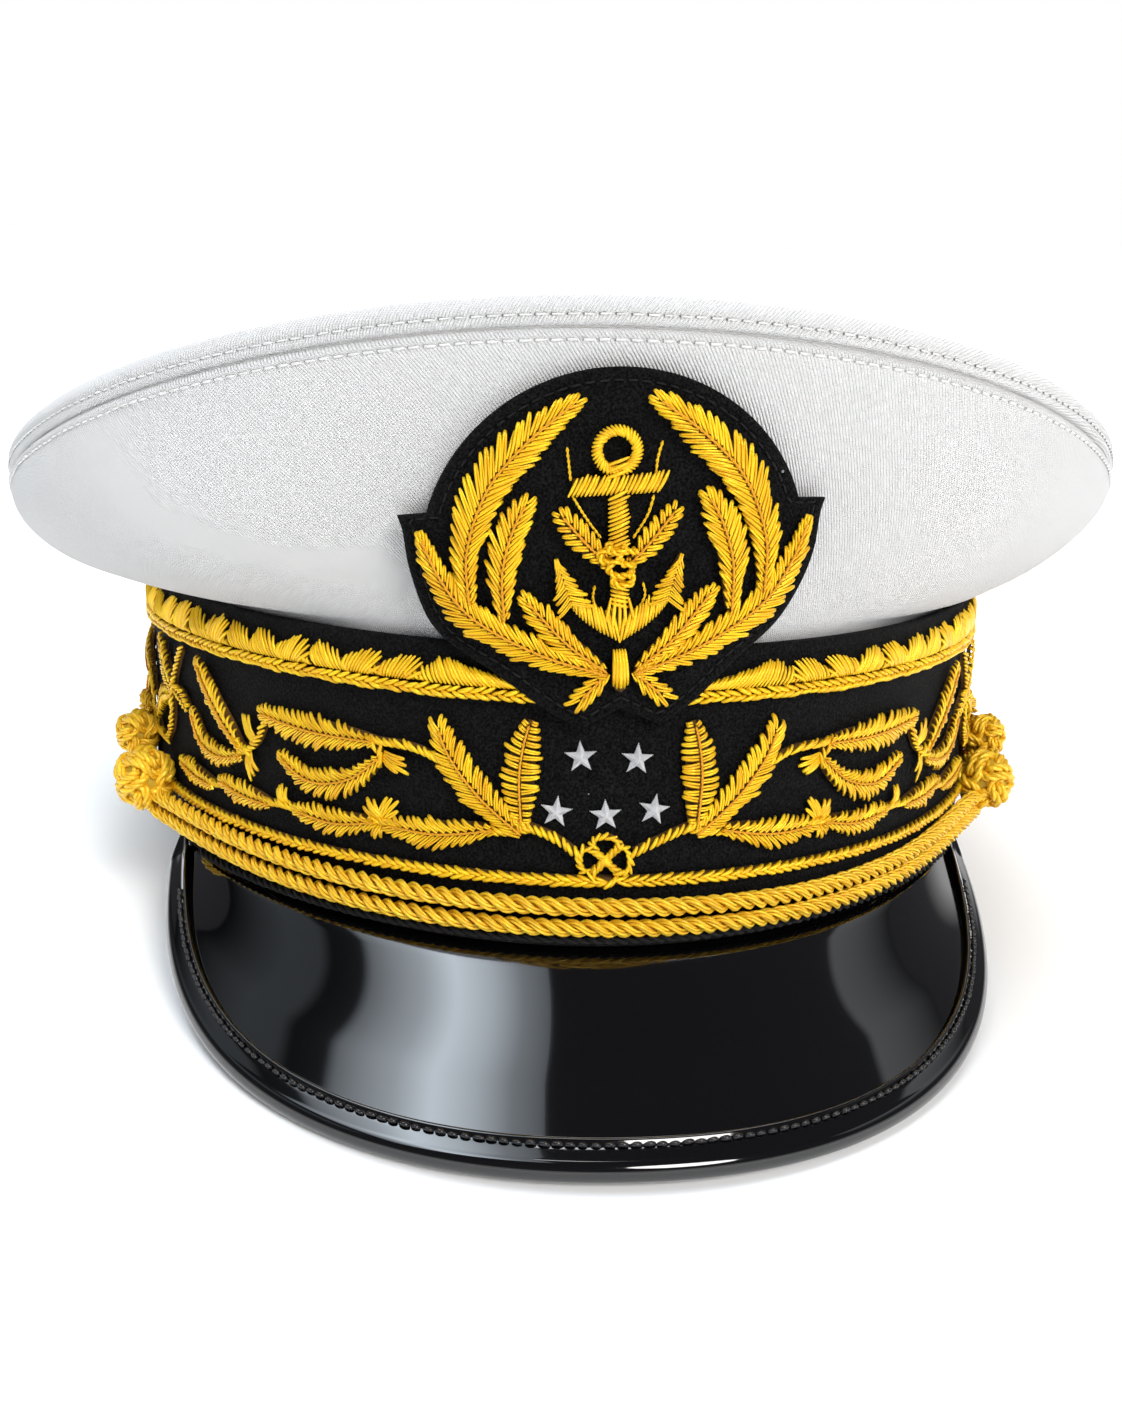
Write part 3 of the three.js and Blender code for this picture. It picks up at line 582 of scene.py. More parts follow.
def evaluated(mesh, tree, material, **inputs):
    """Plain mesh that a Geometry Nodes tree makes from a mesh."""
    holder = new_object("holder", mesh)
    modifier = holder.modifiers.new("grow", "NODES")
    modifier.node_group = tree
    values = {"Material": material, **{key.replace("_", " "): value for key, value in inputs.items()}}
    for item in tree.interface.items_tree:
        if item.in_out == "INPUT" and item.name in values:
            modifier[item.identifier] = values[item.name]
    graph = bpy.context.evaluated_depsgraph_get()
    made = bpy.data.meshes.new_from_object(holder.evaluated_get(graph))
    holder.modifiers.clear()
    bpy.data.objects.remove(holder)
    for label in ("reach", "face"):
        if label in made.attributes:
            made.attributes.remove(made.attributes[label])
    return made


def piece(name, meshes, slot, *nodes):
    """Piece of the cap from one mesh or more, in place of its CAD nodes."""
    objects = [new_object(name, mesh) for mesh in meshes]
    if len(objects) > 1:
        with bpy.context.temp_override(
            active_object=objects[0],
            object=objects[0],
            selected_objects=objects,
            selected_editable_objects=objects,
        ):
            bpy.ops.object.join()
    made = objects[0]
    made.name = name
    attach(made, "root")
    if nodes:
        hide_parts(*nodes)
    return made


def tube(name, centre, radius, sides, material):
    """Round tube along a line of places that closes, in millimetres of the cap's frame."""
    along = unit(np.roll(centre, -1, 0) - np.roll(centre, 1, 0))
    side = unit(np.cross(along, UPRIGHT))
    up = np.cross(side, along)
    turn = turn_angles(sides)[:, None, None]
    ring = centre[None] + radius * (np.cos(turn) * side[None] + np.sin(turn) * up[None])
    return skin(name, ring, material, wrap=(True, True))


# Materials


def blank_material(name):
    """Material and its empty node tree."""
    material = bpy.data.materials.new(name)
    material.use_nodes = True
    material.node_tree.nodes.clear()
    return material, Tree(material.node_tree)


def principled(name, shade, roughness, metallic=0.0, **extra):
    """Material with its Principled shader; constants go straight on the sockets."""
    material, tree = blank_material(name)
    values = {"Base Color": shade, "Roughness": roughness, "Metallic": metallic, **extra}
    shader = tree.add("ShaderNodeBsdfPrincipled", None, values)
    tree.add("ShaderNodeOutputMaterial", None, {"Surface": shader})
    return material, tree, shader.socket.node.inputs


def link(tree, value, socket):
    """Link from a value to a socket that is there already."""
    tree.tree.links.new(value.socket, socket)


def bumped(tree, inputs, height, distance, strength=1.0):
    """Bump from a height, as a share of a distance in metres."""
    bump = tree.add("ShaderNodeBump", None, {"Height": height, "Distance": distance, "Strength": strength})
    link(tree, bump, inputs["Normal"])


def noise(tree, scale, detail=3.0):
    """Noise on the object's own coordinates."""
    inputs = {"Vector": tree.own_place(), "Scale": scale, "Detail": detail}
    return tree.add("ShaderNodeTexNoise", None, inputs)


def rgba(colour, share=1.0):
    """Colour for a socket, at a share of its brightness."""
    return tuple(value * share for value in colour[:3]) + (1.0,)


def wire_finish(name, light, dark, roughness, metallic, coils=46.0):
    """Bullion wire or twisted thread: the tone of each wire differs at random and mixes its lit colour with a
    painted shade colour.
    """
    material, tree, inputs = principled(name, rgba(light), roughness, metallic)
    tone = tree.add("ShaderNodeAttribute", {"attribute_name": "tone"}, None, "Fac")
    patches = noise(tree, 260.0, 2.0)
    # Painted shade: low tones take the dark colour, a shaded copy of the wire's colour.
    link(tree, tree.mix(tone * 0.8 + patches * 0.5 - 0.05, rgba(dark), rgba(light)), inputs["Base Color"])
    along = tree.add("ShaderNodeAttribute", {"attribute_name": "along"}, None, "Fac")
    bumped(tree, inputs, (along * coils).sin() * 0.5 + noise(tree, 5200.0, 1.0), 0.00004, 0.5)
    link(tree, roughness + 0.12 * noise(tree, 900.0), inputs["Roughness"])
    return material


# Pitch of the twill's ribs and of the threads across them, in metres
TWILL_RIB, TWILL_THREAD = 0.0006, 0.00042


def cover_finish(name, shade):
    """White twill: fine diagonal ribs with short threads across them."""
    sheen = {"Sheen Weight": 0.25, "Sheen Roughness": 0.5}
    material, tree, inputs = principled(name, rgba(shade), 0.9, **sheen)
    place = tree.add("ShaderNodeTexCoord", None, None, "UV")
    split = tree.add("ShaderNodeSeparateXYZ", None, {0: place})
    wander = noise(tree, 900.0, 2.0) * 0.00025
    u, v = split + wander, split.other("Y")
    rib = ((u - v * 0.62) * (2 * math.pi / TWILL_RIB)).sin()
    thread = ((u * 0.5 + v) * (2 * math.pi / TWILL_THREAD)).sin()
    weave = 0.5 + 0.3 * rib + 0.2 * thread * (0.5 + 0.5 * rib)
    soft = noise(tree, 60.0, 4.0)
    # Painted shade: the cloth is darker in the weave's grooves, where its bump lies low; the soft noise
    # darkens patches at random.
    link(tree, tree.mix(weave * 0.75 + soft * 0.35, rgba(shade, 0.86), rgba(shade)), inputs["Base Color"])
    bumped(tree, inputs, weave + 0.35 * noise(tree, 2500.0, 2.0), 0.00042)
    return material


def felt_finish(name, shade, grid):
    """Black wool cloth: a faint woven grid under a nap, with a few pale specks of lint."""
    nap_gloss = {"Sheen Weight": 0.012, "Sheen Roughness": 0.4, "Specular IOR Level": 0.1}
    material, tree, inputs = principled(name, rgba(shade), 0.9, **nap_gloss)
    place = tree.own_place()
    split = tree.add("ShaderNodeSeparateXYZ", None, {0: place})
    weave = (split * grid).sin() * (split.other("Z") * grid).sin()
    nap = (noise(tree, 2600.0, 4.0) - 0.4) * 3.0
    cells = {"Vector": place, "Scale": 210.0, "Randomness": 1.0}
    speck = tree.add("ShaderNodeTexVoronoi", None, cells, "Distance")
    rare = noise(tree, 75.0, 1.0) > 0.63
    lint = (speck < 0.045) * rare
    lighter = tuple(min(1.0, value * 3.2 + 0.014) for value in shade[:3]) + (1.0,)
    cloth = tree.mix(nap * 0.9 + weave * 0.06, rgba(shade), lighter)
    link(tree, tree.mix(lint, cloth, (0.3, 0.3, 0.3, 1.0)), inputs["Base Color"])
    bumped(tree, inputs, nap + 0.1 * weave, 0.00025, 0.8)
    return material


def gloss_finish(name, shade, roughness, ripple):
    """Patent leather: a deep gloss over a faint unevenness."""
    coat = {"Coat Weight": 0.6, "Coat Roughness": 0.03, "Specular IOR Level": 0.6}
    material, tree, inputs = principled(name, rgba(shade), roughness, **coat)
    bumped(tree, inputs, noise(tree, ripple, 2.0), 0.0004, 0.12)
    link(tree, roughness + 0.05 * noise(tree, 35.0, 4.0), inputs["Roughness"])
    return material


def leather_finish(name, shade):
    """Plain grained leather."""
    material, tree, inputs = principled(name, rgba(shade), 0.55)
    grain = tree.add("ShaderNodeTexVoronoi", None, {"Vector": tree.own_place(), "Scale": 900.0}, "Distance")
    bumped(tree, inputs, grain + 0.4 * noise(tree, 2500.0), 0.0001, 0.5)
    link(tree, tree.mix(noise(tree, 40.0), rgba(shade), rgba(shade, 0.6)), inputs["Base Color"])
    return material


def plain_finish(name, shade, roughness, metallic=0.0):
    """Thread, padding or metal with a little unevenness."""
    material, tree, inputs = principled(name, rgba(shade), roughness, metallic)
    link(tree, tree.mix(noise(tree, 800.0), rgba(shade, 0.75), rgba(shade)), inputs["Base Color"])
    bumped(tree, inputs, noise(tree, 3000.0), 0.00003, 0.4)
    return material


class CapColours(bpy.types.PropertyGroup):
    """Colours of the cap, as linear values."""

    gold: bpy.props.FloatVectorProperty(
        name="Gold wire", description="Bullion wire in full light", subtype="COLOR", default=(1.0, 0.66, 0.01)
    )
    # Painted shade: the gold as it looks in shade, the dark end of each wire's tone; the padding is coloured
    # 0.18 of it.
    gold_shade: bpy.props.FloatVectorProperty(
        name="Gold shade", description="Wire and padding down in the work", subtype="COLOR",
        default=(0.72, 0.3, 0.0),
    )
    spine: bpy.props.FloatVectorProperty(
        name="Spine thread", description="Thread down the middle of a leaf", subtype="COLOR",
        default=(0.8, 0.38, 0.01),
    )
    cord: bpy.props.FloatVectorProperty(
        name="Cord", description="Silk of the chin cord", subtype="COLOR", default=(1.0, 0.67, 0.035)
    )
    silver: bpy.props.FloatVectorProperty(
        name="Silver thread", description="Thread of the stars", subtype="COLOR", default=(0.82, 0.82, 0.84)
    )
    white: bpy.props.FloatVectorProperty(
        name="Cover", description="White cloth of the crown", subtype="COLOR", default=(0.9, 0.892, 0.885)
    )
    black: bpy.props.FloatVectorProperty(
        name="Band", description="Black wool of the band and the badge", subtype="COLOR",
        default=(0.0005, 0.0005, 0.0006),
    )
    leather: bpy.props.FloatVectorProperty(
        name="Sweatband", description="Leather inside the band", subtype="COLOR", default=(0.12, 0.05, 0.022)
    )


class CapSizes(bpy.types.PropertyGroup):
    """Sizes of the needlework and the cord."""

    wire: bpy.props.FloatProperty(
        name="Wire thickness", description="Bullion wire of the leaves", default=0.00076, unit="LENGTH",
        precision=5,
    )
    pitch: bpy.props.FloatProperty(
        name="Wire pitch", description="From one wire of a leaf to the next", default=0.00088, unit="LENGTH",
        precision=5,
    )
    uneven: bpy.props.FloatProperty(
        name="Unevenness", description="How far the ends of the wires stray, as a share", default=0.11,
        subtype="FACTOR",
    )
    cord_radius: bpy.props.FloatProperty(
        name="Cord radius", description="Radius of the upper chin cord", default=0.00158, unit="LENGTH",
        precision=5,
    )
    cord_lay: bpy.props.FloatProperty(
        name="Cord lay", description="Length of one turn of the chin cord", default=0.0073, unit="LENGTH",
        precision=5,
    )
    seam_pitch: bpy.props.FloatProperty(
        name="Seam pitch", description="Machine stitches of the cover", default=0.0023, unit="LENGTH",
        precision=5,
    )


looks_made = {}


def look(name):
    """Material or node tree of the cap, made once."""
    if name in looks_made:
        return looks_made[name]
    colours = bpy.context.scene.cap_colours
    shade = colours.gold_shade
    makers = {
        "gold_wire": lambda: wire_finish("gold_wire", colours.gold, shade, 0.27, 0.34, 90.0),
        "spine_thread": lambda: wire_finish("spine_thread", colours.spine, shade, 0.5, 0.2, 900.0),
        "gold_cord": lambda: wire_finish("gold_cord", colours.cord, shade, 0.3, 0.2, 8000.0),
        # Padding coloured nearly black, as painted shade in the gaps between the wires.
        "padding_painted_shade": lambda: plain_finish("padding_painted_shade", rgba(shade, 0.18), 0.8),
        # Painted shade: the ball knots' core is the cord at 0.6, seen in the gaps between the strands.
        "cord_core_shade": lambda: plain_finish("cord_core_shade", rgba(colours.cord, 0.6), 0.6),
        # Its dark end is the silver at 0.7, a painted shade copy of it.
        "silver_thread": lambda: wire_finish(
            "silver_thread", colours.silver, rgba(colours.silver, 0.7), 0.42, 0.15
        ),
        "white_twill": lambda: cover_finish("white_twill", tuple(colours.white)),
        "white_thread": lambda: plain_finish("white_thread", tuple(colours.white), 0.8),
        # Needle holes drawn as grey dots of painted shade.
        "hole_shade": lambda: plain_finish("hole_shade", (0.16, 0.155, 0.15), 0.95),
        "band_wool": lambda: felt_finish("band_wool", tuple(colours.black), 5200.0),
        "badge_felt": lambda: felt_finish("badge_felt", rgba(colours.black, 0.8), 7000.0),
        "black_thread": lambda: plain_finish("black_thread", (0.0012, 0.0012, 0.0014), 0.9),
        "patent_leather": lambda: gloss_finish("patent_leather", (0.0012, 0.0012, 0.0015), 0.045, 28.0),
        "peak_thread": lambda: plain_finish("peak_thread", (0.02, 0.02, 0.022), 0.18),
        "peak_underside": lambda: leather_finish("peak_underside", (0.006, 0.006, 0.007)),
        "sweatband_leather": lambda: leather_finish("sweatband_leather", tuple(colours.leather)),
        "gilt_metal": lambda: plain_finish("gilt_metal", (0.85, 0.5, 0.1), 0.22, 1.0),
        "stitches": lambda: stitch_tree("stitches", False, 6, 5),
        "loops": lambda: stitch_tree("loops", True, 10, 5),
        "pricks": lambda: stitch_tree("pricks", False, 3, 4),
        "laid": laid_tree,
    }
    looks_made[name] = makers[name]()
    return looks_made[name]


def wires(
    rows, material="gold_wire", pitch=1.0, thickness=1.0, arch=0.00045, uneven=1.0, seed=1, kind="stitches"
):
    """Wires along rows; pitch, thickness and unevenness are shares of the cap's own."""
    sizes = bpy.context.scene.cap_sizes
    return rows.grown(
        look(kind),
        look(material),
        Pitch=sizes.pitch * pitch,
        Thickness=sizes.wire * thickness,
        Arch=arch,
        Unevenness=sizes.uneven * uneven,
        Seed=seed,
    )


# Cord of strands of threads and cord of plain strands: where a strand lies and its own radius, as shares of
# the cord's radius, and how long one turn of the threads is as a share of the strands' turn
STRAND_OF_THREADS = {"offset": 0.56, "radius": 0.445}
PLAIN_STRAND = {"offset": 0.5, "radius": 0.52}
THREAD_LAY = 0.8


def laid(rows, material, radius, lay, strands=3, threads=4, step=0.00055, seed=1):
    """Twisted cord of a radius along rows, in metres."""
    if threads > 1:
        strand = radius * STRAND_OF_THREADS["offset"]
        offset = radius * (STRAND_OF_THREADS["radius"] / (1 + math.sin(HALF_TURN / threads)))
        thread_radius = offset * math.sin(HALF_TURN / threads)
    else:
        strand = radius * PLAIN_STRAND["offset"]
        thread_radius, offset = radius * PLAIN_STRAND["radius"], 0.0
    return rows.grown(
        look("laid"),
        look(material),
        Strands=strands,
        Strand_Offset=strand,
        Lay=lay,
        Threads=threads,
        Thread_Offset=offset,
        Thread_Lay=lay * THREAD_LAY,
        Thread_Radius=thread_radius,
        Step=step,
        Seed=seed,
    )


# Cover


def square_to(points, angle):
    """Way square to a face of the cover given in rows: in where they run down, out where they run up."""
    along = np.cross(UPRIGHT, outward(rim_point, angle))
    run = np.concatenate([points[1:2] - points[:1], points[2:] - points[:-2], points[-1:] - points[-2:-1]])
    return unit(np.cross(np.broadcast_to(along, run.shape), run))


# Turned-in edges of the side and top panels at the seam, as out and up from it
SIDE_LIP = [(-COVER["lip"], -0.5), (-1.2, -0.52), (-0.45, -0.64), (-0.08, -1.0)]
TOP_ROLL = [
    (-COVER["lip"], -0.3), (-1.2, -0.3), (-0.45, -0.1), (0.1, 0.6), (-0.14, 1.35), (0.14, 2.1), (-0.3, 3.0),
    (-1.5, 4.0),
]
TOP_REACHES = (0.965, 0.9, 0.8, 0.62, 0.45, 0.25, 0.1)
TOP_LIFT = 4.5
# Machine stitches beside the seam, below and above it
SEAM_DROP = 1.2
SEAM_RISE = 1.25
NEEDLE_HOLE = 0.0004
PIPING = {"in": 1.2, "down": 0.4, "radius": 0.2}


def side_outline(angle):
    """Outer face of the side panel in rows, from the seam down to the tuck behind the band."""
    inset = BAND["wall"] + GAP
    top = band_point(angle, BAND["height"] + COVER["lift"], -inset)
    tuck = band_point(angle, BAND["height"] - COVER["tuck"], -inset)
    rolled = rim_point(angle, 0, -COVER["roll"])
    corner = np.stack([rolled[..., 0], rolled[..., 1], top[..., 2]], -1)
    straight = np.where(np.cos(angle) > 0, 1 - ease(np.abs(np.sin(angle)), 0.3, 0.8), 0)[..., None]
    slack = FULLNESS["left_sag"] * ease(-np.sin(angle), 0.2, 0.8)[..., None]
    full = FULLNESS["all"] - FULLNESS["right_flat"] * ease(np.sin(angle), 0.2, 0.8)[..., None]
    under = rolled + (corner - rolled) * (full - 1.2 * slack)
    near = top + (corner - top) * (full + slack)
    under = under + (rolled + (top - rolled) / 3 - under) * straight
    near = near + (top + (rolled - top) / 3 - near) * straight
    t = (np.linspace(0, 1, 49) ** 1.5)[:, None, None]
    panel = (1 - t) ** 3 * rolled + 3 * (1 - t) ** 2 * t * under + 3 * (1 - t) * t * t * near + t**3 * top
    lip = np.stack([rim_point(angle, out, rise) for out, rise in SIDE_LIP])
    return np.concatenate([lip, panel, tuck[None]])


def puffed(points, angle):
    """The panel's outer face with its edge puffed out between the seam and the stitches, and soft hollows."""
    out = -square_to(points, angle)
    step = np.linalg.norm(np.diff(points, axis=0), axis=-1)
    down = np.concatenate([np.zeros((1, len(angle))), np.cumsum(step, 0)]) - COVER["lip"]
    puff = 0.3 * np.sin(math.pi * np.clip(down / SEAM_DROP, 0, 1))
    pinch = -0.2 * np.exp(-(((down - SEAM_DROP) / 0.35) ** 2))
    ripple = np.sin(9 * angle + 0.4) * 0.5 + np.sin(17 * angle + 1.7) * 0.3 + np.sin(31 * angle) * 0.2
    slack = 0.28 * ease(down, 3, 12) * (1 - ease(down, 30, 48)) * ripple
    return points + out * (puff + pinch + slack)[..., None], out, down


def top_point(angle, reach, lift):
    """Place on the top of the crown; reach runs from 0 in the middle to 1 at the rim."""
    edge = rim_point(angle)
    ahead = reach * np.cos(angle)
    bow = np.where(ahead > 0, RIM_FRONT_BOW, RIM_BACK_BOW)
    slack = (1 - reach * reach) * ((RIM_FRONT_BOW + RIM_BACK_BOW) / 4 + COVER["dome"])
    height = RIM_SIDE + RIM_RISE * ahead + bow * ahead * ahead + slack + lift
    return np.stack([edge[..., 0] * reach, RIM["back"] + (edge[..., 1] - RIM["back"]) * reach, height], -1)


def top_outline(angle):
    """Outer face of the top panel in rows, from the seam to the middle."""
    swell = 0.3 * np.sin(angle) ** 2
    rows = [rim_point(angle, out, up + max(up, 0) * swell) for out, up in TOP_ROLL]
    for reach in TOP_REACHES:
        rows.append(top_point(angle, reach, TOP_LIFT * (1 + swell * reach * reach)))
    rows.append(top_point(angle, 0.0 * angle, TOP_LIFT + 0 * angle))
    line = smooth(np.stack(rows, 1), 5)
    return np.moveaxis(line, 1, 0)


def lengths(points):
    """Length along the section at each row, for a pattern."""
    step = np.linalg.norm(np.diff(points, axis=0), axis=-1)
    return np.concatenate([np.zeros((1, points.shape[1])), np.cumsum(step, 0)])


def closed_columns(values):
    """The values with the first column again at the end."""
    return np.concatenate([values, values[:, :1]], axis=1)


def area_of(points):
    """Area of a face given in rows that run round, in square metres."""
    a = points[:-1]
    b = points[1:]
    across = np.roll(points, -1, axis=1)[:-1] - a
    return float(np.linalg.norm(np.cross(b - a, across), axis=-1).sum()) * 1e-6


def seam_line(points, out, down, distance, proud):
    """Places round the panel at a distance from the seam, and the way out there."""
    row = np.argmin(np.abs(down - distance), axis=0)
    columns = np.arange(points.shape[1])
    return points[row, columns] + out[row, columns] * proud, out[row, columns]


def round_rows(places, out, length):
    """Rows that run once round the crown, with stitches along the line."""
    rows = Rows(None)
    foot = settled(places)
    ahead = unit(np.roll(foot, -1, 0) - foot) * length
    up = settled(places + out) - foot
    rows.lines.append((foot, ahead, up, True))
    return rows


def make_cover():
    """Side and top panels of the white cover, its piping, stitches and needle holes, the holes as grey dots
    of painted shade.
    """
    sizes = bpy.context.scene.cap_sizes
    angle = turn_angles(ROUND_STEPS)
    cloth = look("white_twill")
    girth = np.concatenate([[0], np.cumsum(np.linalg.norm(np.diff(rim_point(angle), axis=0), axis=-1))])
    girth = np.append(girth, girth[-1] + np.linalg.norm(rim_point(angle[-1]) - rim_point(angle[0])))

    # Side panel
    outer, out, down = puffed(side_outline(angle), angle)
    inner = (outer + square_to(outer, angle) * COVER["wall"])[::-1]
    shell = np.concatenate([outer, inner])
    v = closed_columns(lengths(shell))
    v = np.concatenate([v, v[-1:] + COVER["wall"]])
    u = np.broadcast_to(girth, v.shape)
    mesh = skin("cover_side", shell, cloth, wrap=(True, True), uv=(u, v))
    side = piece("cover_side", [mesh], "white_cloth", "crown_side")
    round(area_of(outer), 5)

    # Top panel
    top = top_outline(angle)
    top_out = square_to(top, angle)
    under = top + top_out * -COVER["wall"]
    under[-1] = top[-1] - [0, 0, COVER["wall"]]
    shell = np.concatenate([top[::-1], under])
    middle = np.array([0.0, RIM["back"]])
    reach = np.cumsum(np.linalg.norm(np.diff(shell, axis=0, prepend=shell[:1]), axis=-1), 0)[..., None]
    flat = closed_columns(unit(rim_point(angle)[..., :2] - middle) * reach)
    mesh = skin("cover_top", shell, cloth, wrap=(False, True), uv=(flat[..., 0], flat[..., 1]))
    crown = piece("cover_top", [merged(mesh)], "white_cloth", "crown_top")
    round(area_of(top), 5)

    # Stitches and needle holes below the seam, then above it; the holes are grey dots of painted shade
    places, away = seam_line(outer, out, down, SEAM_DROP, 0.1)
    thread = dict(Pitch=sizes.seam_pitch, Arch=0.00012, Unevenness=0.03, Seed=4)
    side_rows = round_rows(places, away, sizes.seam_pitch * 0.8)
    lower = side_rows.grown(look("stitches"), look("white_thread"), Thickness=0.0005, **thread)
    holes = round_rows(places, away, NEEDLE_HOLE)
    dots = holes.grown(look("pricks"), look("hole_shade"), Thickness=0.00055, **{**thread, "Arch": 0.0})
    top_down = lengths(top) - COVER["lip"]
    places, away = seam_line(top, top_out, top_down, SEAM_RISE, 0.12)
    upper = round_rows(places, away, sizes.seam_pitch * 0.8).grown(
        look("stitches"), look("white_thread"), Thickness=0.00032, **thread
    )
    upper_dots = round_rows(places, away, NEEDLE_HOLE).grown(
        look("pricks"), look("hole_shade"), Thickness=0.00042, **{**thread, "Arch": 0.0}
    )
    line = rim_point(angle, -PIPING["in"], -PIPING["down"])
    piping = tube("cover_piping", line, PIPING["radius"], 8, cloth)
    piece("cover_piping", [piping], "white_cloth")
    piece("cover_stitches", [lower, upper], "white_cloth")
    piece("cover_hole_shade", [dots, upper_dots], "white_cloth")


# Band


SWEATBAND = {"gap": 0.25, "wall": 1.0, "seam": 2.6}


def make_band():
    """Black wool band and the leather sweatband inside it."""
    angle = turn_angles(ROUND_STEPS)
    height = BAND["height"]
    wall = BAND["wall"]
    edge = 0.5
    outside = [(h, 0.0) for h in np.linspace(2, height - 2, 14)]
    inside = [(h, -wall) for h in np.linspace(height - 2, 2, 8)]
    section = [
        (0.35, -0.02), (edge, 0.0), *outside, (height - edge, 0.0), (height - 0.1, -0.15), (height, -edge),
        (height, edge - wall), (height - 0.15, 0.1 - wall), *inside, (0.15, 0.1 - wall), (0.0, edge - wall),
        (0.0, -edge), (0.1, -0.15),
    ]
    points = np.stack([band_point(angle, h, out) for h, out in section])
    wool = skin("band_wool", points, look("band_wool"), wrap=(True, True))
    piece("band_cloth", [wool], "black_cloth", "band")

    # Sweatband, with a row of stitches near its foot
    inner = -wall - SWEATBAND["gap"]
    rows = [(0.6, 0.0), (1.2, 0.0), *[(h, 0.0) for h in np.linspace(3, 30, 8)], (31.4, 0.05), (31.6, -0.4)]
    outline = [(h, inner + out) for h, out in rows]
    back = [(h, inner - SWEATBAND["wall"]) for h, _ in rows[::-1]]
    points = np.stack([band_point(angle, h, out) for h, out in outline + back])
    strap = skin("sweatband", points, look("sweatband_leather"), wrap=(True, True))
    seam = SWEATBAND["seam"]
    places = band_point(angle, seam, inner - 1.05)
    away = unit(band_point(angle, seam, inner - 2.0) - places)
    rows = round_rows(places, away, 0.0022)
    thread = dict(Pitch=0.003, Thickness=0.0005, Arch=0.0002, Unevenness=0.02, Seed=6)
    stitches = rows.grown(look("stitches"), look("peak_thread"), **thread)
    piece("sweatband", [strap, stitches], "black_cloth")


# Peak


def peak_frame(angle):
    """Root on the band, direction down the slope, the way up from it and the length there."""
    slope = np.radians(PEAK_FRONT_SLOPE + PEAK_SIDE_SLOPE * np.sin(angle) ** 2)[..., None]
    away = outward(lambda a: band_point(a, 0.0), angle)
    share = np.minimum(np.abs(angle) / math.radians(PEAK["angle"]), 1)
    root = band_point(angle, 0.0, -1.0)
    root[..., 2] = -GAP
    down = away * np.cos(slope) - UPRIGHT * np.sin(slope)
    lift = away * np.sin(slope) + UPRIGHT * np.cos(slope)
    return root, down, lift, PEAK["length"] * (1 - share ** PEAK["blunt"]) ** PEAK["taper"]


def sheet_crown(reach, run):
    """Rise of the sheet over a straight slope: a low welt beside the band that runs out towards the rim."""
    part = np.clip(run / np.maximum(reach, 1e-6), 0, 1)
    return PEAK["crown"] * (reach / PEAK["length"]) * ease(part, 0, 0.09) * (1 - ease(part, 0.05, 0.62))


def peak_point(angle, run, lift):
    """Place on the peak's sheet, a run down from its root and lifted off it."""
    root, down, up, reach = peak_frame(angle)
    return root + down * run[..., None] + up * (lift + sheet_crown(reach, run))[..., None]


def peak_rim(angle):
    """Place on the rim of the peak."""
    return peak_point(angle, peak_frame(angle)[3], 0.0)


def rim_frame(angle):
    """Directions at the rim of the peak: along it, out from it and up."""
    along = unit(peak_rim(angle + 0.002) - peak_rim(angle - 0.002))
    up = peak_frame(angle)[2]
    out = -unit(np.cross(up, along))
    return along, out, -unit(np.cross(along, out))


def run_inside(angle, inward):
    """Run on the sheet to a line that keeps a distance inside the rim."""
    _, down, _, reach = peak_frame(angle)
    return reach - inward / np.linalg.norm(np.cross(down, rim_frame(angle)[0]), axis=-1)


# Edge of the peak: how far its bead and its flange reach in, and the sections by which its ends run up to the
# cords, each a step further back and up and a share slimmer
BEAD = 3.9
FLANGE = 5.8
END_SECTIONS = 4
END_STEP = np.array([0.0, 0.35, 1.0])
END_SLIMMING = 0.17
SHORTEST_SHEET = 1.2
# The stitches of the flange leave out this many sections at each end
UNSEWN = 15
# Faces of the sheet whose normal points down further than this are its underside
FACES_DOWN = -0.2


def peak_end(test):
    """Largest angle at which the test doesn't hold."""
    end = math.radians(PEAK["angle"])
    while test(np.array([end]))[0]:
        end -= 0.002
    return end


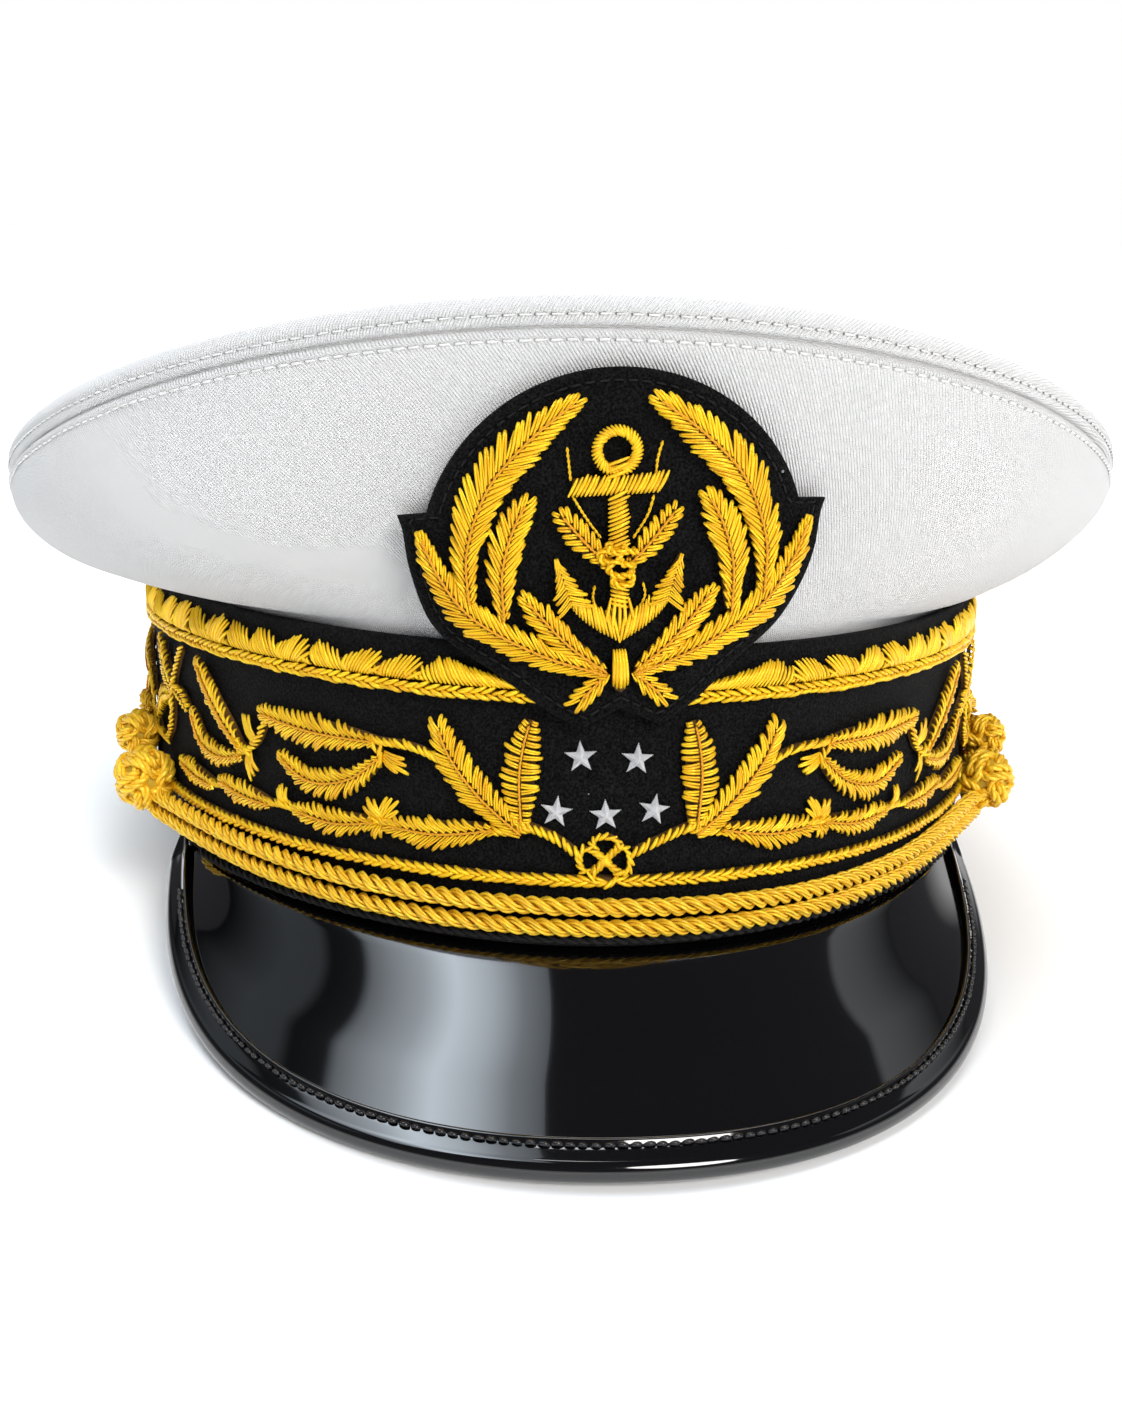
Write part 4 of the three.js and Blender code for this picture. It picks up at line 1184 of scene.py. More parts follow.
def make_peak():
    """Patent leather sheet of the peak, and its bead and stitched flange."""
    end = peak_end(lambda a: run_inside(a, BEAD + GAP) < SHORTEST_SHEET)
    angle = np.linspace(-end, end, 201)
    reach = run_inside(angle, BEAD + GAP)
    shares = np.linspace(0, 1, 25)
    top = [peak_point(angle, share * reach, 0.0) for share in shares]
    under = [peak_point(angle, share * reach, -PEAK["wall"]) for share in shares[::-1]]
    sheet = skin("peak_sheet", np.stack(top + under), look("patent_leather"), wrap=(True, False), caps=True)
    sheet.materials.append(look("peak_underside"))
    for polygon in sheet.polygons:
        if polygon.normal.z < FACES_DOWN:
            polygon.material_index = 1
    piece("peak_sheet", [sheet], "patent_leather", "peak")

    # Bead and flange, in sections along the rim
    end = peak_end(lambda a: peak_rim(a)[..., 2] > -BEAD - 2 * GAP)
    ends, middle = END_SECTIONS, np.linspace(-end, end, 241)
    angle = np.concatenate([np.full(ends, -end), middle, np.full(ends, end)])
    rise = np.concatenate([np.arange(ends, 0, -1), 0 * middle, np.arange(1, ends + 1)])
    slim = 1 - END_SLIMMING * rise
    at = peak_rim(angle) + END_STEP * rise[:, None]
    _, out, up = rim_frame(angle)
    seat = 2 * GAP
    middle, radius = -PEAK["wall"] / 2, BEAD / 2
    turns = np.radians(np.linspace(108, -165, 22))
    round_edge = [(radius - radius * math.cos(t), middle + radius * math.sin(t)) for t in turns]
    section = [
        (FLANGE, seat), (FLANGE + 0.05, seat + 0.3), (FLANGE - 0.2, seat + 0.62), (FLANGE - 0.6, seat + 0.58),
        (FLANGE - 0.95, seat + 0.28), (BEAD + 0.35, seat + 0.26), (BEAD - 0.3, seat + 0.42), *round_edge,
        (BEAD, seat - 0.35), (BEAD + 0.2, seat),
    ]
    length = peak_frame(angle)[3]
    rows = []
    for inward, lift in section:
        crown = sheet_crown(length, run_inside(angle, inward)) if inward >= BEAD else 0.0
        inset = BEAD + (inward - BEAD) * slim
        rows.append(at - out * inset[:, None] + up * ((lift + crown) * slim)[:, None])
    edge = skin("peak_edge", np.stack(rows), look("patent_leather"), wrap=(True, False), caps=True)

    # Stitches along the flange
    stitched = Rows(None)
    inward = (BEAD + FLANGE) / 2 - 0.35
    line = at - out * inward + up * (seat + 0.42 + sheet_crown(length, run_inside(angle, inward)))[..., None]
    line = line[UNSEWN:-UNSEWN]
    foot = settled(line)
    ahead = unit(np.gradient(foot, axis=0)) * 0.0016
    stitched.lines.append((foot, ahead, settled(line + up[UNSEWN:-UNSEWN]) - foot, False))
    thread = dict(Pitch=0.0019, Thickness=0.00082, Arch=0.0003, Unevenness=0.08, Seed=9)
    stitches = stitched.grown(look("stitches"), look("peak_thread"), **thread)
    piece("peak_edge", [edge, stitches], "patent_leather", "peak_binding")


# Needlework


def ribbon(spine, steps=10):
    """Centre line of a leaf or stem on its surface, the ways along and across it and its length so far."""
    line = smooth(spine, steps)
    along = unit(np.gradient(line, axis=0))
    across = np.stack([-along[:, 1], along[:, 0]], -1)
    run = np.concatenate([[0], np.cumsum(np.linalg.norm(np.diff(line, axis=0), axis=-1))])
    return line, along, across, run


def leaf_width(t, width, taper=0.6):
    """Half width of a leaf, from its foot to its tip, which is blunt for a low taper."""
    return width / 2 * np.sin(math.pi * (0.1 + 0.86 * t)) ** taper


class Needlework:
    """Wires, spine threads and padding of one piece, on a surface."""

    def __init__(self, surface, seed):
        self.surface = surface
        self.leaves = Rows(surface)
        self.combs = Rows(surface)
        self.ropes = Rows(surface)
        self.spines = Rows(surface)
        self.flukes = Rows(surface)
        self.tufts = Rows(surface)
        self.bars = Rows(surface)
        self.pads = []
        self.seed = seed

    def leaf(self, spine, width, slant=1.0, low=1.35, high=0.75, thread=True, taper=0.6):
        """Leaf of two rows of wires that lean towards its tip, over a low padding."""
        line, along, across, run = ribbon(spine)
        total = run[-1]
        t = run / total
        keep = run <= total - 0.5
        half = leaf_width(t, width, taper)
        rows = self.leaves if slant > 0.75 else self.combs
        for side in (-1, 1):
            start = line + side * across * 0.28 + along * (0.5 if side > 0 else 0.0)
            ahead = (slant * half * (1 + 0.7 * ease(t, 0.7, 1)) + 0.3)[:, None]
            end = line + side * across * np.maximum(half - 0.25, 0.1)[:, None] + along * ahead
            rows.stitches(start[keep], low, end[keep], high)
        self.pad(line, across, np.maximum(half * 0.68, 0.15), 0.1, low - 0.45)
        if thread:
            self.spines.cord(line[keep], low + 0.42)

    def bud(self, spine, width):
        """Tuft of a few wires that spread from one foot."""
        line, along, across, run = ribbon(spine)
        share = np.linspace(-1, 1, 9)[:, None]
        foot = line[0] + share * across[0] * 0.5
        length = run[-1] * (1 - 0.3 * np.abs(share))
        tips = line[0] + along[0] * length + across[0] * share * (width * 0.42)
        self.tufts.stitches(foot, 0.7, tips, 0.7)

    def rope(self, spine, width=1.7, lean=1.1, height=0.8):
        """Stem of wires laid slantwise side by side."""
        line, along, across, _ = ribbon(spine)
        half = width / 2 - 0.2
        self.ropes.slanted(line, along, across, half, lean, height)
        self.pad(line, across, np.full(len(line), half * 0.9), 0.1, height - 0.2)

    def pad(self, line, across, half, base, top):
        """Padding under the wires, of a half width at each place of the line."""
        left, right = line + across * half[:, None], line - across * half[:, None]
        rows = [(left, base), (line, top), (right, base)]
        self.pads.append(padding([self.surface(*places.T, proud) for places, proud in rows]))

    def meshes(self):
        """Meshes of the rows that have lines, and of the padding."""
        sorts = [
            (self.leaves, 0, dict(pitch=1.36, thickness=1.08, uneven=0.8, kind="loops")),
            (self.combs, 2, dict(pitch=1.26, thickness=1.08, kind="loops")),
            (self.ropes, 1, dict(pitch=1.25, thickness=0.95, arch=0.0004)),
            (self.tufts, 4, dict(pitch=0.36, uneven=0.8, kind="loops")),
            (self.bars, 5, dict(pitch=0.7, thickness=0.78, uneven=0.35)),
            (self.flukes, 3, dict(pitch=0.9, thickness=0.8, kind="loops")),
        ]
        made = [wires(rows, seed=self.seed + turn, **sizes) for rows, turn, sizes in sorts if rows.lines]
        if self.spines.lines:
            made.append(laid(self.spines, "spine_thread", 0.00024, 0.0014, strands=2, threads=1, step=0.0004))
        return made + self.pads


FRONT_LEAVES = [
    ([[13.6, 19.7], [14, 27.5], [13.3, 33], [12.5, 36.1]], 5.8),
    ([[13.6, 18], [20.3, 23.7], [25.2, 29.8], [27.2, 34.4]], 5.6),
    ([[38.7, 30.3], [51.8, 30.1], [64.5, 31.1]], 5.5),
    ([[37.4, 27.7], [43.2, 23.4], [51.6, 21.7], [58.9, 24.5]], 5),
    ([[17.9, 18.4], [26.8, 16.8], [36.1, 16.9]], 5),
    ([[38.2, 17], [46.4, 15.5], [55, 16]], 4.7),
    ([[62, 15.5], [69.2, 15.6], [76.5, 16.5]], 4.6),
    ([[79.6, 15], [86, 15.2], [93.5, 16.3]], 4.4),
    ([[70.5, 24], [78.6, 29.7], [85.9, 36.6]], 4.4),
    ([[69.8, 22.3], [77.6, 20.9], [84, 22.3], [88, 26.8]], 4.2),
]
BUDS = [
    ([[37, 28.2], [34.8, 27.2], [32.5, 25.9]], 2.6),
    ([[37.6, 17.6], [39.2, 19.4], [40.6, 20.9]], 2.4),
    ([[37.4, 17.6], [36, 19.7], [35, 21.7]], 2.4),
    ([[37.5, 17], [38.3, 15.4], [38.9, 13.9]], 2.4),
    ([[66.6, 25.6], [68.2, 28], [69, 30.6]], 2.2),
    ([[68.3, 23.4], [67.4, 20.8], [66.5, 18.6]], 2.2),
    ([[58.2, 16.2], [58.9, 18.2], [59.4, 20]], 2.2),
]
FRONT_STEMS = [
    [[25.8, 28.4], [31.5, 30.2], [39.6, 30.5]],
    [[37.2, 27.4], [37.8, 28.8], [39.4, 30.2]],
    [[62.9, 30.6], [66, 25.6], [71.6, 22.4]],
    [[68.4, 23.6], [70, 24], [72.2, 25]],
    [[53.6, 16], [58.4, 16.2], [63.4, 15.7]],
    [[75.4, 16.3], [78.4, 15.6], [81, 15.1]],
    [[12.8, 18.8], [15.6, 18.2], [19.4, 18]],
    [[34.6, 17], [37.4, 17.3], [39.8, 16.8]],
]
SIDE_LEAVES = [
    ([[98.6, 29.4], [94.6, 28.8], [90.6, 27]], 2.4),
    ([[99, 28.8], [104, 32.6], [107, 37.4]], 4),
    ([[99.4, 28], [105.6, 26.4], [109.6, 22.4]], 4),
]
SIDE_STEM = [[94.2, 37.4], [97.4, 33], [99.4, 28.6], [100.2, 22], [103.5, 18.6]]
REPEAT_LEAVES = [
    ([[16.4, 28.6], [30, 31], [43, 33.4]], 4.8),
    ([[16.2, 27.6], [27, 21.6], [38.6, 23.6]], 4.4),
    ([[7.6, 18.8], [20, 16.2], [32, 16.8]], 4.4),
    ([[47, 25.4], [55.4, 30.6], [62, 35.6]], 4.2),
]
REPEAT_STEM = [[0, 18.4], [8, 19.4], [17, 28.2], [31, 27.2], [44.6, 27.2], [54, 21], [60.8, 18.4]]
REPEAT = {"start": 103, "pitch": 60, "count": 3}
SIDES = (("left", -1), ("right", 1))
# Slants of the two upright leaves of a spray, and how much fuller than in the tables the leaves are made
UPRIGHT_SLANTS = (0.1, 0.9)
FULLER = {"front_leaf": 1.12, "bud": 1.2, "side_leaf": 1.1, "frond": 1.02}


def band_side(side):
    """Surface of one half of the band, by its arc from the front."""
    return lambda arc, height, proud: on_band(side * arc, height, GAP + proud)


def badge_side(side):
    """Surface of the badge, mirrored for the side -1."""
    return lambda u, w, proud: on_badge(side * u, w, GAP + proud)


def make_sprays():
    """Leaf sprays on the front of the band and the branches round its sides and back."""
    for number, (word, side) in enumerate(SIDES):
        work = Needlework(band_side(side), 20 + 5 * number)
        for index, (spine, width) in enumerate(FRONT_LEAVES):
            upright = index < len(UPRIGHT_SLANTS)
            slant, taper = (UPRIGHT_SLANTS[index], 0.6) if upright else (0.95, 0.75)
            work.leaf(spine, width * FULLER["front_leaf"], slant=slant, taper=taper)
        for spine, width in BUDS:
            work.bud(spine, width * FULLER["bud"])
        for spine in FRONT_STEMS:
            work.rope(spine)
        work.rope([[4.5 - side * 0.7, 15.4], [8.5, 17.6], [14.2, 19.9]], width=1.9, lean=1.0)
        piece(f"spray_wires_{word}", work.meshes(), "gold_thread", f"spray_{word}")

        work = Needlework(band_side(side), 40 + 5 * number)
        for spine, width in SIDE_LEAVES:
            work.leaf(spine, width * FULLER["side_leaf"], slant=0.6, thread=False)
        work.rope(SIDE_STEM)
        for i in range(REPEAT["count"]):
            shift = np.array([REPEAT["start"] + REPEAT["pitch"] * i, 0])
            for spine, width in REPEAT_LEAVES:
                work.leaf(np.array(spine) + shift, width, slant=0.6)
            stem = REPEAT_STEM if i < REPEAT["count"] - 1 else REPEAT_STEM[:-1]
            work.rope(np.array(stem) + shift)
        piece(f"side_spray_wires_{word}", work.meshes(), "gold_thread", f"side_spray_{word}")


BORDER = {"start": 12.6, "tip": 24.4, "pitch": 7.4, "foot": 38.8, "braid": 2.2, "top": 45.1, "climb": 1.7}
LEAF_STEPS, BRAID_STEPS = 24, 300
# Order of the two shapes of half leaf: a slash is a fan from a filled foot, a backslash is a plain lobe
LOBES = "//\\/\\\\/\\"


def border_top(arc):
    """Height of the half leaves' tips, which climbs towards the sides."""
    return BORDER["top"] + BORDER["climb"] * np.minimum(1, (arc / 85) ** 2)


def make_borders():
    """Row of half leaves on a braid under the top edge of the band."""
    foot = BORDER["foot"]
    base = foot + BORDER["braid"] + 0.1
    for number, (word, side) in enumerate(SIDES):
        surface = band_side(side)
        lobes, fans, braid = Rows(surface), Rows(surface), Rows(surface)
        pads = []
        share = np.linspace(0, 1, LEAF_STEPS)

        # First half leaf, which rises slowly beside the badge
        feet = 12.9 + 16.1 * share
        crest = np.minimum((feet - 11.6) / 11.2, 1) ** 0.85 * (1 - 0.42 * ease(share, 0.8, 1))
        top = base + 0.6 + (border_top(24.4) - base - 0.6) * crest
        lean = 1.2 + 1.8 * np.sin(math.pi * np.clip(share + 0.1, 0, 1))
        start = np.stack([feet, np.full(LEAF_STEPS, base - 0.1)], -1)
        lobes.stitches(start, 0.8, np.stack([feet + lean, top - 0.3], -1), 0.5)

        # Half leaves from there to the back
        arc = BORDER["tip"] + BORDER["pitch"] - 2.3
        lobe = 0
        while arc + BORDER["pitch"] < HALF_GIRTH - 1.5:
            dome = 2.3 * np.exp(-share / 0.13) + 1.5 * np.clip((share - 0.45) / 0.55, 0, 1) ** 1.6
            crest = border_top(arc) - dome
            if LOBES[lobe % len(LOBES)] == "/":
                foot_arc = arc + 3.3 + 4.7 * share
                end_arc = arc + 0.2 + 7.2 * share**1.35
                fill = np.linspace(0, 1, 6)
                start = np.stack([arc + 0.2 + 2.9 * fill, np.full(6, base)], -1)
                lobes.stitches(start, 0.6, start + np.stack([0.9 - 0.3 * fill, 1.1 + 1.2 * fill], -1), 0.5)
                rows = fans
            else:
                foot_arc = arc - 0.4 + 6.6 * share
                end_arc = foot_arc + 1.3 + 1.3 * np.sin(math.pi * share)
                rows = lobes
            start = np.stack([foot_arc, np.full(LEAF_STEPS, base)], -1)
            rows.stitches(start, 0.8, np.stack([end_arc, crest - 0.3], -1), 0.5)
            arc += BORDER["pitch"]
            lobe += 1

        # Braid of two rows under them, and the padding
        end = HALF_GIRTH - 1.5
        line = np.linspace(BORDER["start"] + 1.4, end, BRAID_STEPS)
        middle = np.stack([line, np.full(BRAID_STEPS, foot + 1.1)], -1)
        braid.stitches(middle, 0.9, middle + [-2.5, -0.9], 0.5)
        braid.stitches(middle + [0.9, 0.0], 0.9, middle + [-1.6, 0.9], 0.6)
        pad_top = np.minimum(foot + 4.2, base + 0.1 + (line - BORDER["start"]) * 0.3)
        braid_top = np.full(BRAID_STEPS, foot + 1.9)
        for low, high, rise in ((foot + 0.2, braid_top, 0.7), (foot + 2.0, pad_top, 0.45)):
            section = [(np.full(BRAID_STEPS, low), 0.1), ((low + high) / 2, rise), (high, 0.1)]
            pads.append(padding([surface(line, height, proud) for height, proud in section]))
        meshes = [
            wires(lobes, pitch=0.84, thickness=0.84, arch=0.0006, uneven=0.22, seed=60 + number),
            wires(fans, pitch=0.58, thickness=0.84, arch=0.0006, uneven=0.22, seed=65 + number),
            wires(braid, pitch=2.1, thickness=1.05, arch=0.0005, uneven=0.7, seed=70 + number),
        ]
        piece(f"border_wires_{word}", meshes + pads, "gold_thread", f"border_{word}")


def braid_height(arc):
    """Height of the lower braid, lower at the sides."""
    return 10.7 - 0.7 * np.minimum(1, (np.abs(arc) / 55) ** 2)


SQUARE_KNOT = {"arc": -0.7, "height": 14.2, "reach": 3.9, "half_width": 1.95}


def make_lower_braid():
    """Braid round the foot of the band and the square knot in front."""
    braid = Rows(band_side(1))
    for side in (-1, 1):
        arc = side * np.linspace(0.4, HALF_GIRTH - 0.3, 420)
        middle = np.stack([arc, braid_height(arc)], -1)
        braid.stitches(middle, 0.95, middle + [side * 2.6, 0.88], 0.5)
        braid.stitches(middle + [side * 0.9, 0], 0.95, middle + [side * 3.5, -0.88], 0.5)
    angle = turn_angles(360)
    arcs = np.interp(np.minimum(angle, 2 * math.pi - angle), ARC_ANGLES, ARCS)
    height = braid_height(arcs)
    section = [(-0.85, 0.1), (0, 0.85), (0.85, 0.1)]
    rows = [band_point(angle, height + across, GAP + out) for across, out in section]
    pad = padding(rows, wrap=(True, True), caps=False)

    # Square knot: one line through four loops, over and under itself
    knot = Rows(band_side(1))
    share = np.linspace(0, 1, 31)[:-1]
    ahead = SQUARE_KNOT["reach"] * np.sin(math.pi * share)
    aside = SQUARE_KNOT["half_width"] * np.sin(2 * math.pi * share)
    turns = np.repeat(np.arange(4) * HALF_TURN / 2, 30)
    ahead, aside, share = (np.tile(v, 4) for v in (ahead, aside, share))
    u = SQUARE_KNOT["arc"] + ahead * np.cos(turns) - aside * np.sin(turns)
    w = SQUARE_KNOT["height"] + ahead * np.sin(turns) + aside * np.cos(turns)
    rise = np.where(share < 0.5, -1.0, 1.0) * np.sin(2 * math.pi * share) ** 2
    centre = np.stack([u, w], -1)
    along = unit(np.roll(centre, -1, 0) - np.roll(centre, 1, 0))
    across = np.stack([-along[:, 1], along[:, 0]], -1)
    lift = 0.95 + 0.35 * rise
    knot.slanted(centre, along, across, 0.55, 0.9, lift)
    core = Rows(knot.surface)
    core.cord(centre, lift - 0.15, closed=True)
    meshes = [
        wires(braid, pitch=2.05, thickness=1.02, arch=0.0004, uneven=0.4, seed=80),
        wires(knot, pitch=1.05, thickness=0.95, arch=0.0003, uneven=0.9, seed=82),
        # Core of the knot, in the padding's dark colour as painted shade under its wires.
        laid(core, "padding_painted_shade", 0.0005, 0.003, strands=2, threads=1),
    ]
    piece("lower_braid_wires", [*meshes, pad], "gold_thread", "lower_braid")


# The stars' middles on the band and their lean in degrees, the reach of their tips and notches, the height of
# their ridge and the share of an arm at which its edge turns away from the notch
STARS = [(-4.8, 30.5, 4), (4, 30.2, -3), (-8.4, 21.6, -6), (-0.7, 21.2, 3), (6.9, 22, -9)]
STAR = {"tip": 2.65, "notch": 1.08, "ridge": 1.25, "bend": 0.45}


def make_stars():
    """Five stars of silver thread, each with five ridged arms."""
    tip, notch, ridge, bend = STAR.values()
    for number, (arc, height, lean) in enumerate(STARS):
        rows = Rows(band_side(1))
        centre = np.array([arc, height])
        for arm in range(5):
            turn = math.radians(90 + lean + 72 * arm)
            point = centre + tip * np.array([math.cos(turn), math.sin(turn)])
            for side in (-1, 1):
                beside = turn + side * HALF_TURN / 5
                corner = centre + notch * np.array([math.cos(beside), math.sin(beside)])
                share = np.linspace(0.02, 0.96, 12)[:, None]
                start = centre + (point - centre) * share
                beyond = np.maximum(share - bend, 0) / 0.55
                near = centre + (corner - centre) * (0.55 + share)
                edge = np.where(share < bend, near, corner + (point - corner) * beyond**1.2)
                low = ridge * np.maximum(bend - share[:, 0], 0.0)
                rows.stitches(start, ridge * (1 - share[:, 0]), edge, low)

        # Ridged core under the threads
        outline = []
        for k in range(10):
            turn = math.radians(90 + lean + 36 * k)
            radius = (notch if k % 2 else tip) * 0.96
            outline.append(centre + radius * np.array([math.cos(turn), math.sin(turn)]))
        outline = np.array(outline)
        ring = on_band(outline[:, 0], outline[:, 1], GAP)
        low = np.broadcast_to(on_band(*centre, GAP), ring.shape)
        peak = np.broadcast_to(on_band(*centre, GAP + ridge), ring.shape)
        pad = merged(skin("padding", np.stack([low, ring, peak]), look("silver_thread"), wrap=(False, True)))
        pad.shade_flat()
        meshes = [
            wires(rows, "silver_thread", pitch=0.27, thickness=0.2, arch=0.0, uneven=0.2, seed=90 + number),
            pad,
        ]
        piece(f"star_threads_{number + 1}", meshes, "silver_thread", f"star_{number + 1}")


# Badge


BADGE_SIDE = [[6.1, -26.4], [11.2, -23.4], [18.8, -17.2], [25.2, -12], [29, -6.2], [31, -0.7], [31.7, 5],
              [32.3, 7.1], [27.9, 7.4]]
FRONDS = [
    ([[22.3, -6.5], [22.3, 1.6], [18.8, 11], [13, 17.5], [5.6, 23.2]], 6.6),
    ([[17.2, -9], [17.2, -1.5], [15.4, 4.9], [13.1, 9.1]], 5.6),
    ([[2.2, -17.7], [12.6, -14], [22.4, -8], [26.6, -2], [29, 4.1]], 5.4),
    ([[2.2, -17.3], [7.8, -12.9], [14.3, -5.3]], 4.6),
]
TAIL = [[2.1, -17.4], [4.1, -19.4], [6.3, -21.5]]
# Turns of the knot on the anchor's shank, as x, y and radius, and the ends of its loose rope
SHANK_KNOT = [(-1.5, 0.6, 1.2), (1.4, 0.2, 1.3), (0.2, -1.3, 1.5), (-0.5, 1.9, 1.0), (0.4, -3, 1.2)]
LOOSE_ROPE = [
    [[-7.2, 16.6], [-7.0, 14.2], [-6.8, 11.8]], [[-6.5, 9.4], [-4.8, 6.4], [-2.6, 3.2]],
    [[6.6, 17.0], [5.9, 14.6], [5.6, 12.2]], [[5.3, 9.2], [4.4, 6.4], [2.2, 3.0]],
    [[-3.6, -4.0], [-3.9, -6.0], [-3.0, -8.2]], [[3.6, -3.8], [3.9, -5.8], [2.6, -8.2]],
]
# Edge of the felt from its foot over its rounded rim and its groove of stitches, as in and up from the rim
FELT_GROOVE = 1.85
FELT_EDGE = [
    (0.0, 0.1 - BADGE["wall"]), (0.0, -0.6), (0.12, -0.22), (0.45, 0.0), (1.2, 0.04), (1.6, -0.08),
    (FELT_GROOVE, -0.22), (2.1, -0.06), (2.6, 0.02),
]


def badge_outline():
    """Outline of the felt in its own axes, closely spaced."""
    last = BADGE_SIDE[-1]
    start = math.atan2(last[1] - BADGE["arc_centre"], last[0])
    turn = np.linspace(start, math.pi - start, 66)[1:-1]
    arc = np.stack([BADGE["arc"] * np.cos(turn), BADGE["arc_centre"] + BADGE["arc"] * np.sin(turn)], -1)
    right = np.concatenate([smooth([[0, -23.4], BADGE_SIDE[0]], 5)[:-1], smooth(BADGE_SIDE[:8], 5)[:-1],
                            smooth(BADGE_SIDE[7:], 4)])
    left = right[::-1] * [-1, 1]
    left[:, 0] -= 1.3 * np.exp(-(((left[:, 1] + 11) / 6) ** 2))
    return np.concatenate([right, arc, left[:-1]])


def make_badge():
    """Felt of the badge and the stitches along its edge."""
    outline = badge_outline()
    centre = np.array([0.0, -2.0])
    away = unit(outline - centre)
    wall = BADGE["wall"]
    rings = []
    for inset, proud in FELT_EDGE:
        ring = outline - away * inset
        rings.append(on_badge(ring[:, 0], ring[:, 1], proud))
    inner = outline - away * FELT_EDGE[-1][0]
    for share in np.linspace(0.94, 0, 24):
        ring = centre + (inner - centre) * share
        rings.append(on_badge(ring[:, 0], ring[:, 1], 0.02))
    bottom = [on_badge(*(centre + (outline - centre) * share).T, -wall) for share in np.linspace(0, 1, 12)]
    mesh = merged(skin("badge_felt", np.stack(bottom + rings), look("badge_felt"), wrap=(False, True)))
    piece("badge_patch", [mesh], "black_cloth", "badge_backing")

    rows = Rows(on_badge)
    ring = outline - away * FELT_GROOVE
    ring = ring[np.linalg.norm(ring - np.roll(ring, 1, 0), axis=1) > 0.05]
    ahead = unit(np.roll(ring, -1, 0) - ring)
    rows.stitches(ring, 0.02, ring + ahead * 1.5, 0.02)
    thread = wires(rows, "black_thread", pitch=2.3, thickness=0.5, arch=0.0001, uneven=0.3, seed=11)
    piece("badge_edge_stitches", [thread], "black_cloth")


def make_wreath():
    """Two branches of four fronds, and the tie where they cross."""
    for number, (word, side) in enumerate(SIDES):
        work = Needlework(badge_side(side), 100 + 5 * number)
        for index, (spine, width) in enumerate(FRONDS):
            low = 1.6 - 0.15 * (index % 2)
            work.leaf(spine, width * FULLER["frond"], slant=1.12, low=low, high=0.8, taper=0.85)
        work.leaf(TAIL, 3.7, slant=1.3, low=1.1, high=0.6, taper=0.45)
        piece(f"wreath_wires_{word}", work.meshes(), "gold_thread", f"wreath_{word}")

    # Tie where the branches cross
    rows = Rows(badge_side(1))
    across = np.linspace(-1.15, 0.95, 12)
    bulge = 1 + 0.35 * np.cos(np.linspace(-1.4, 1.4, 12))
    start = np.stack([across * 0.8 - 0.02, np.full(12, -14.0)], -1)
    end = np.stack([across, -14.0 - 4.9 * bulge], -1)
    rows.stitches(start, 1.0, end, 0.9)
    pad = Needlework(badge_side(1), 0)
    line = np.array([[-0.1, -14.2], [-0.1, -15.6], [-0.1, -17.4], [-0.1, -19.2], [-0.1, -20.4]])
    pad.pad(line, np.tile([1.0, 0.0], (5, 1)), np.array([0.7, 1.1, 1.25, 1.1, 0.7]), 0.1, 1.6)
    tie = wires(rows, pitch=0.42, thickness=0.85, arch=0.0011, uneven=0.15, seed=113)
    piece("wreath_tie_wires", [tie] + pad.pads, "gold_thread", "wreath_tie")


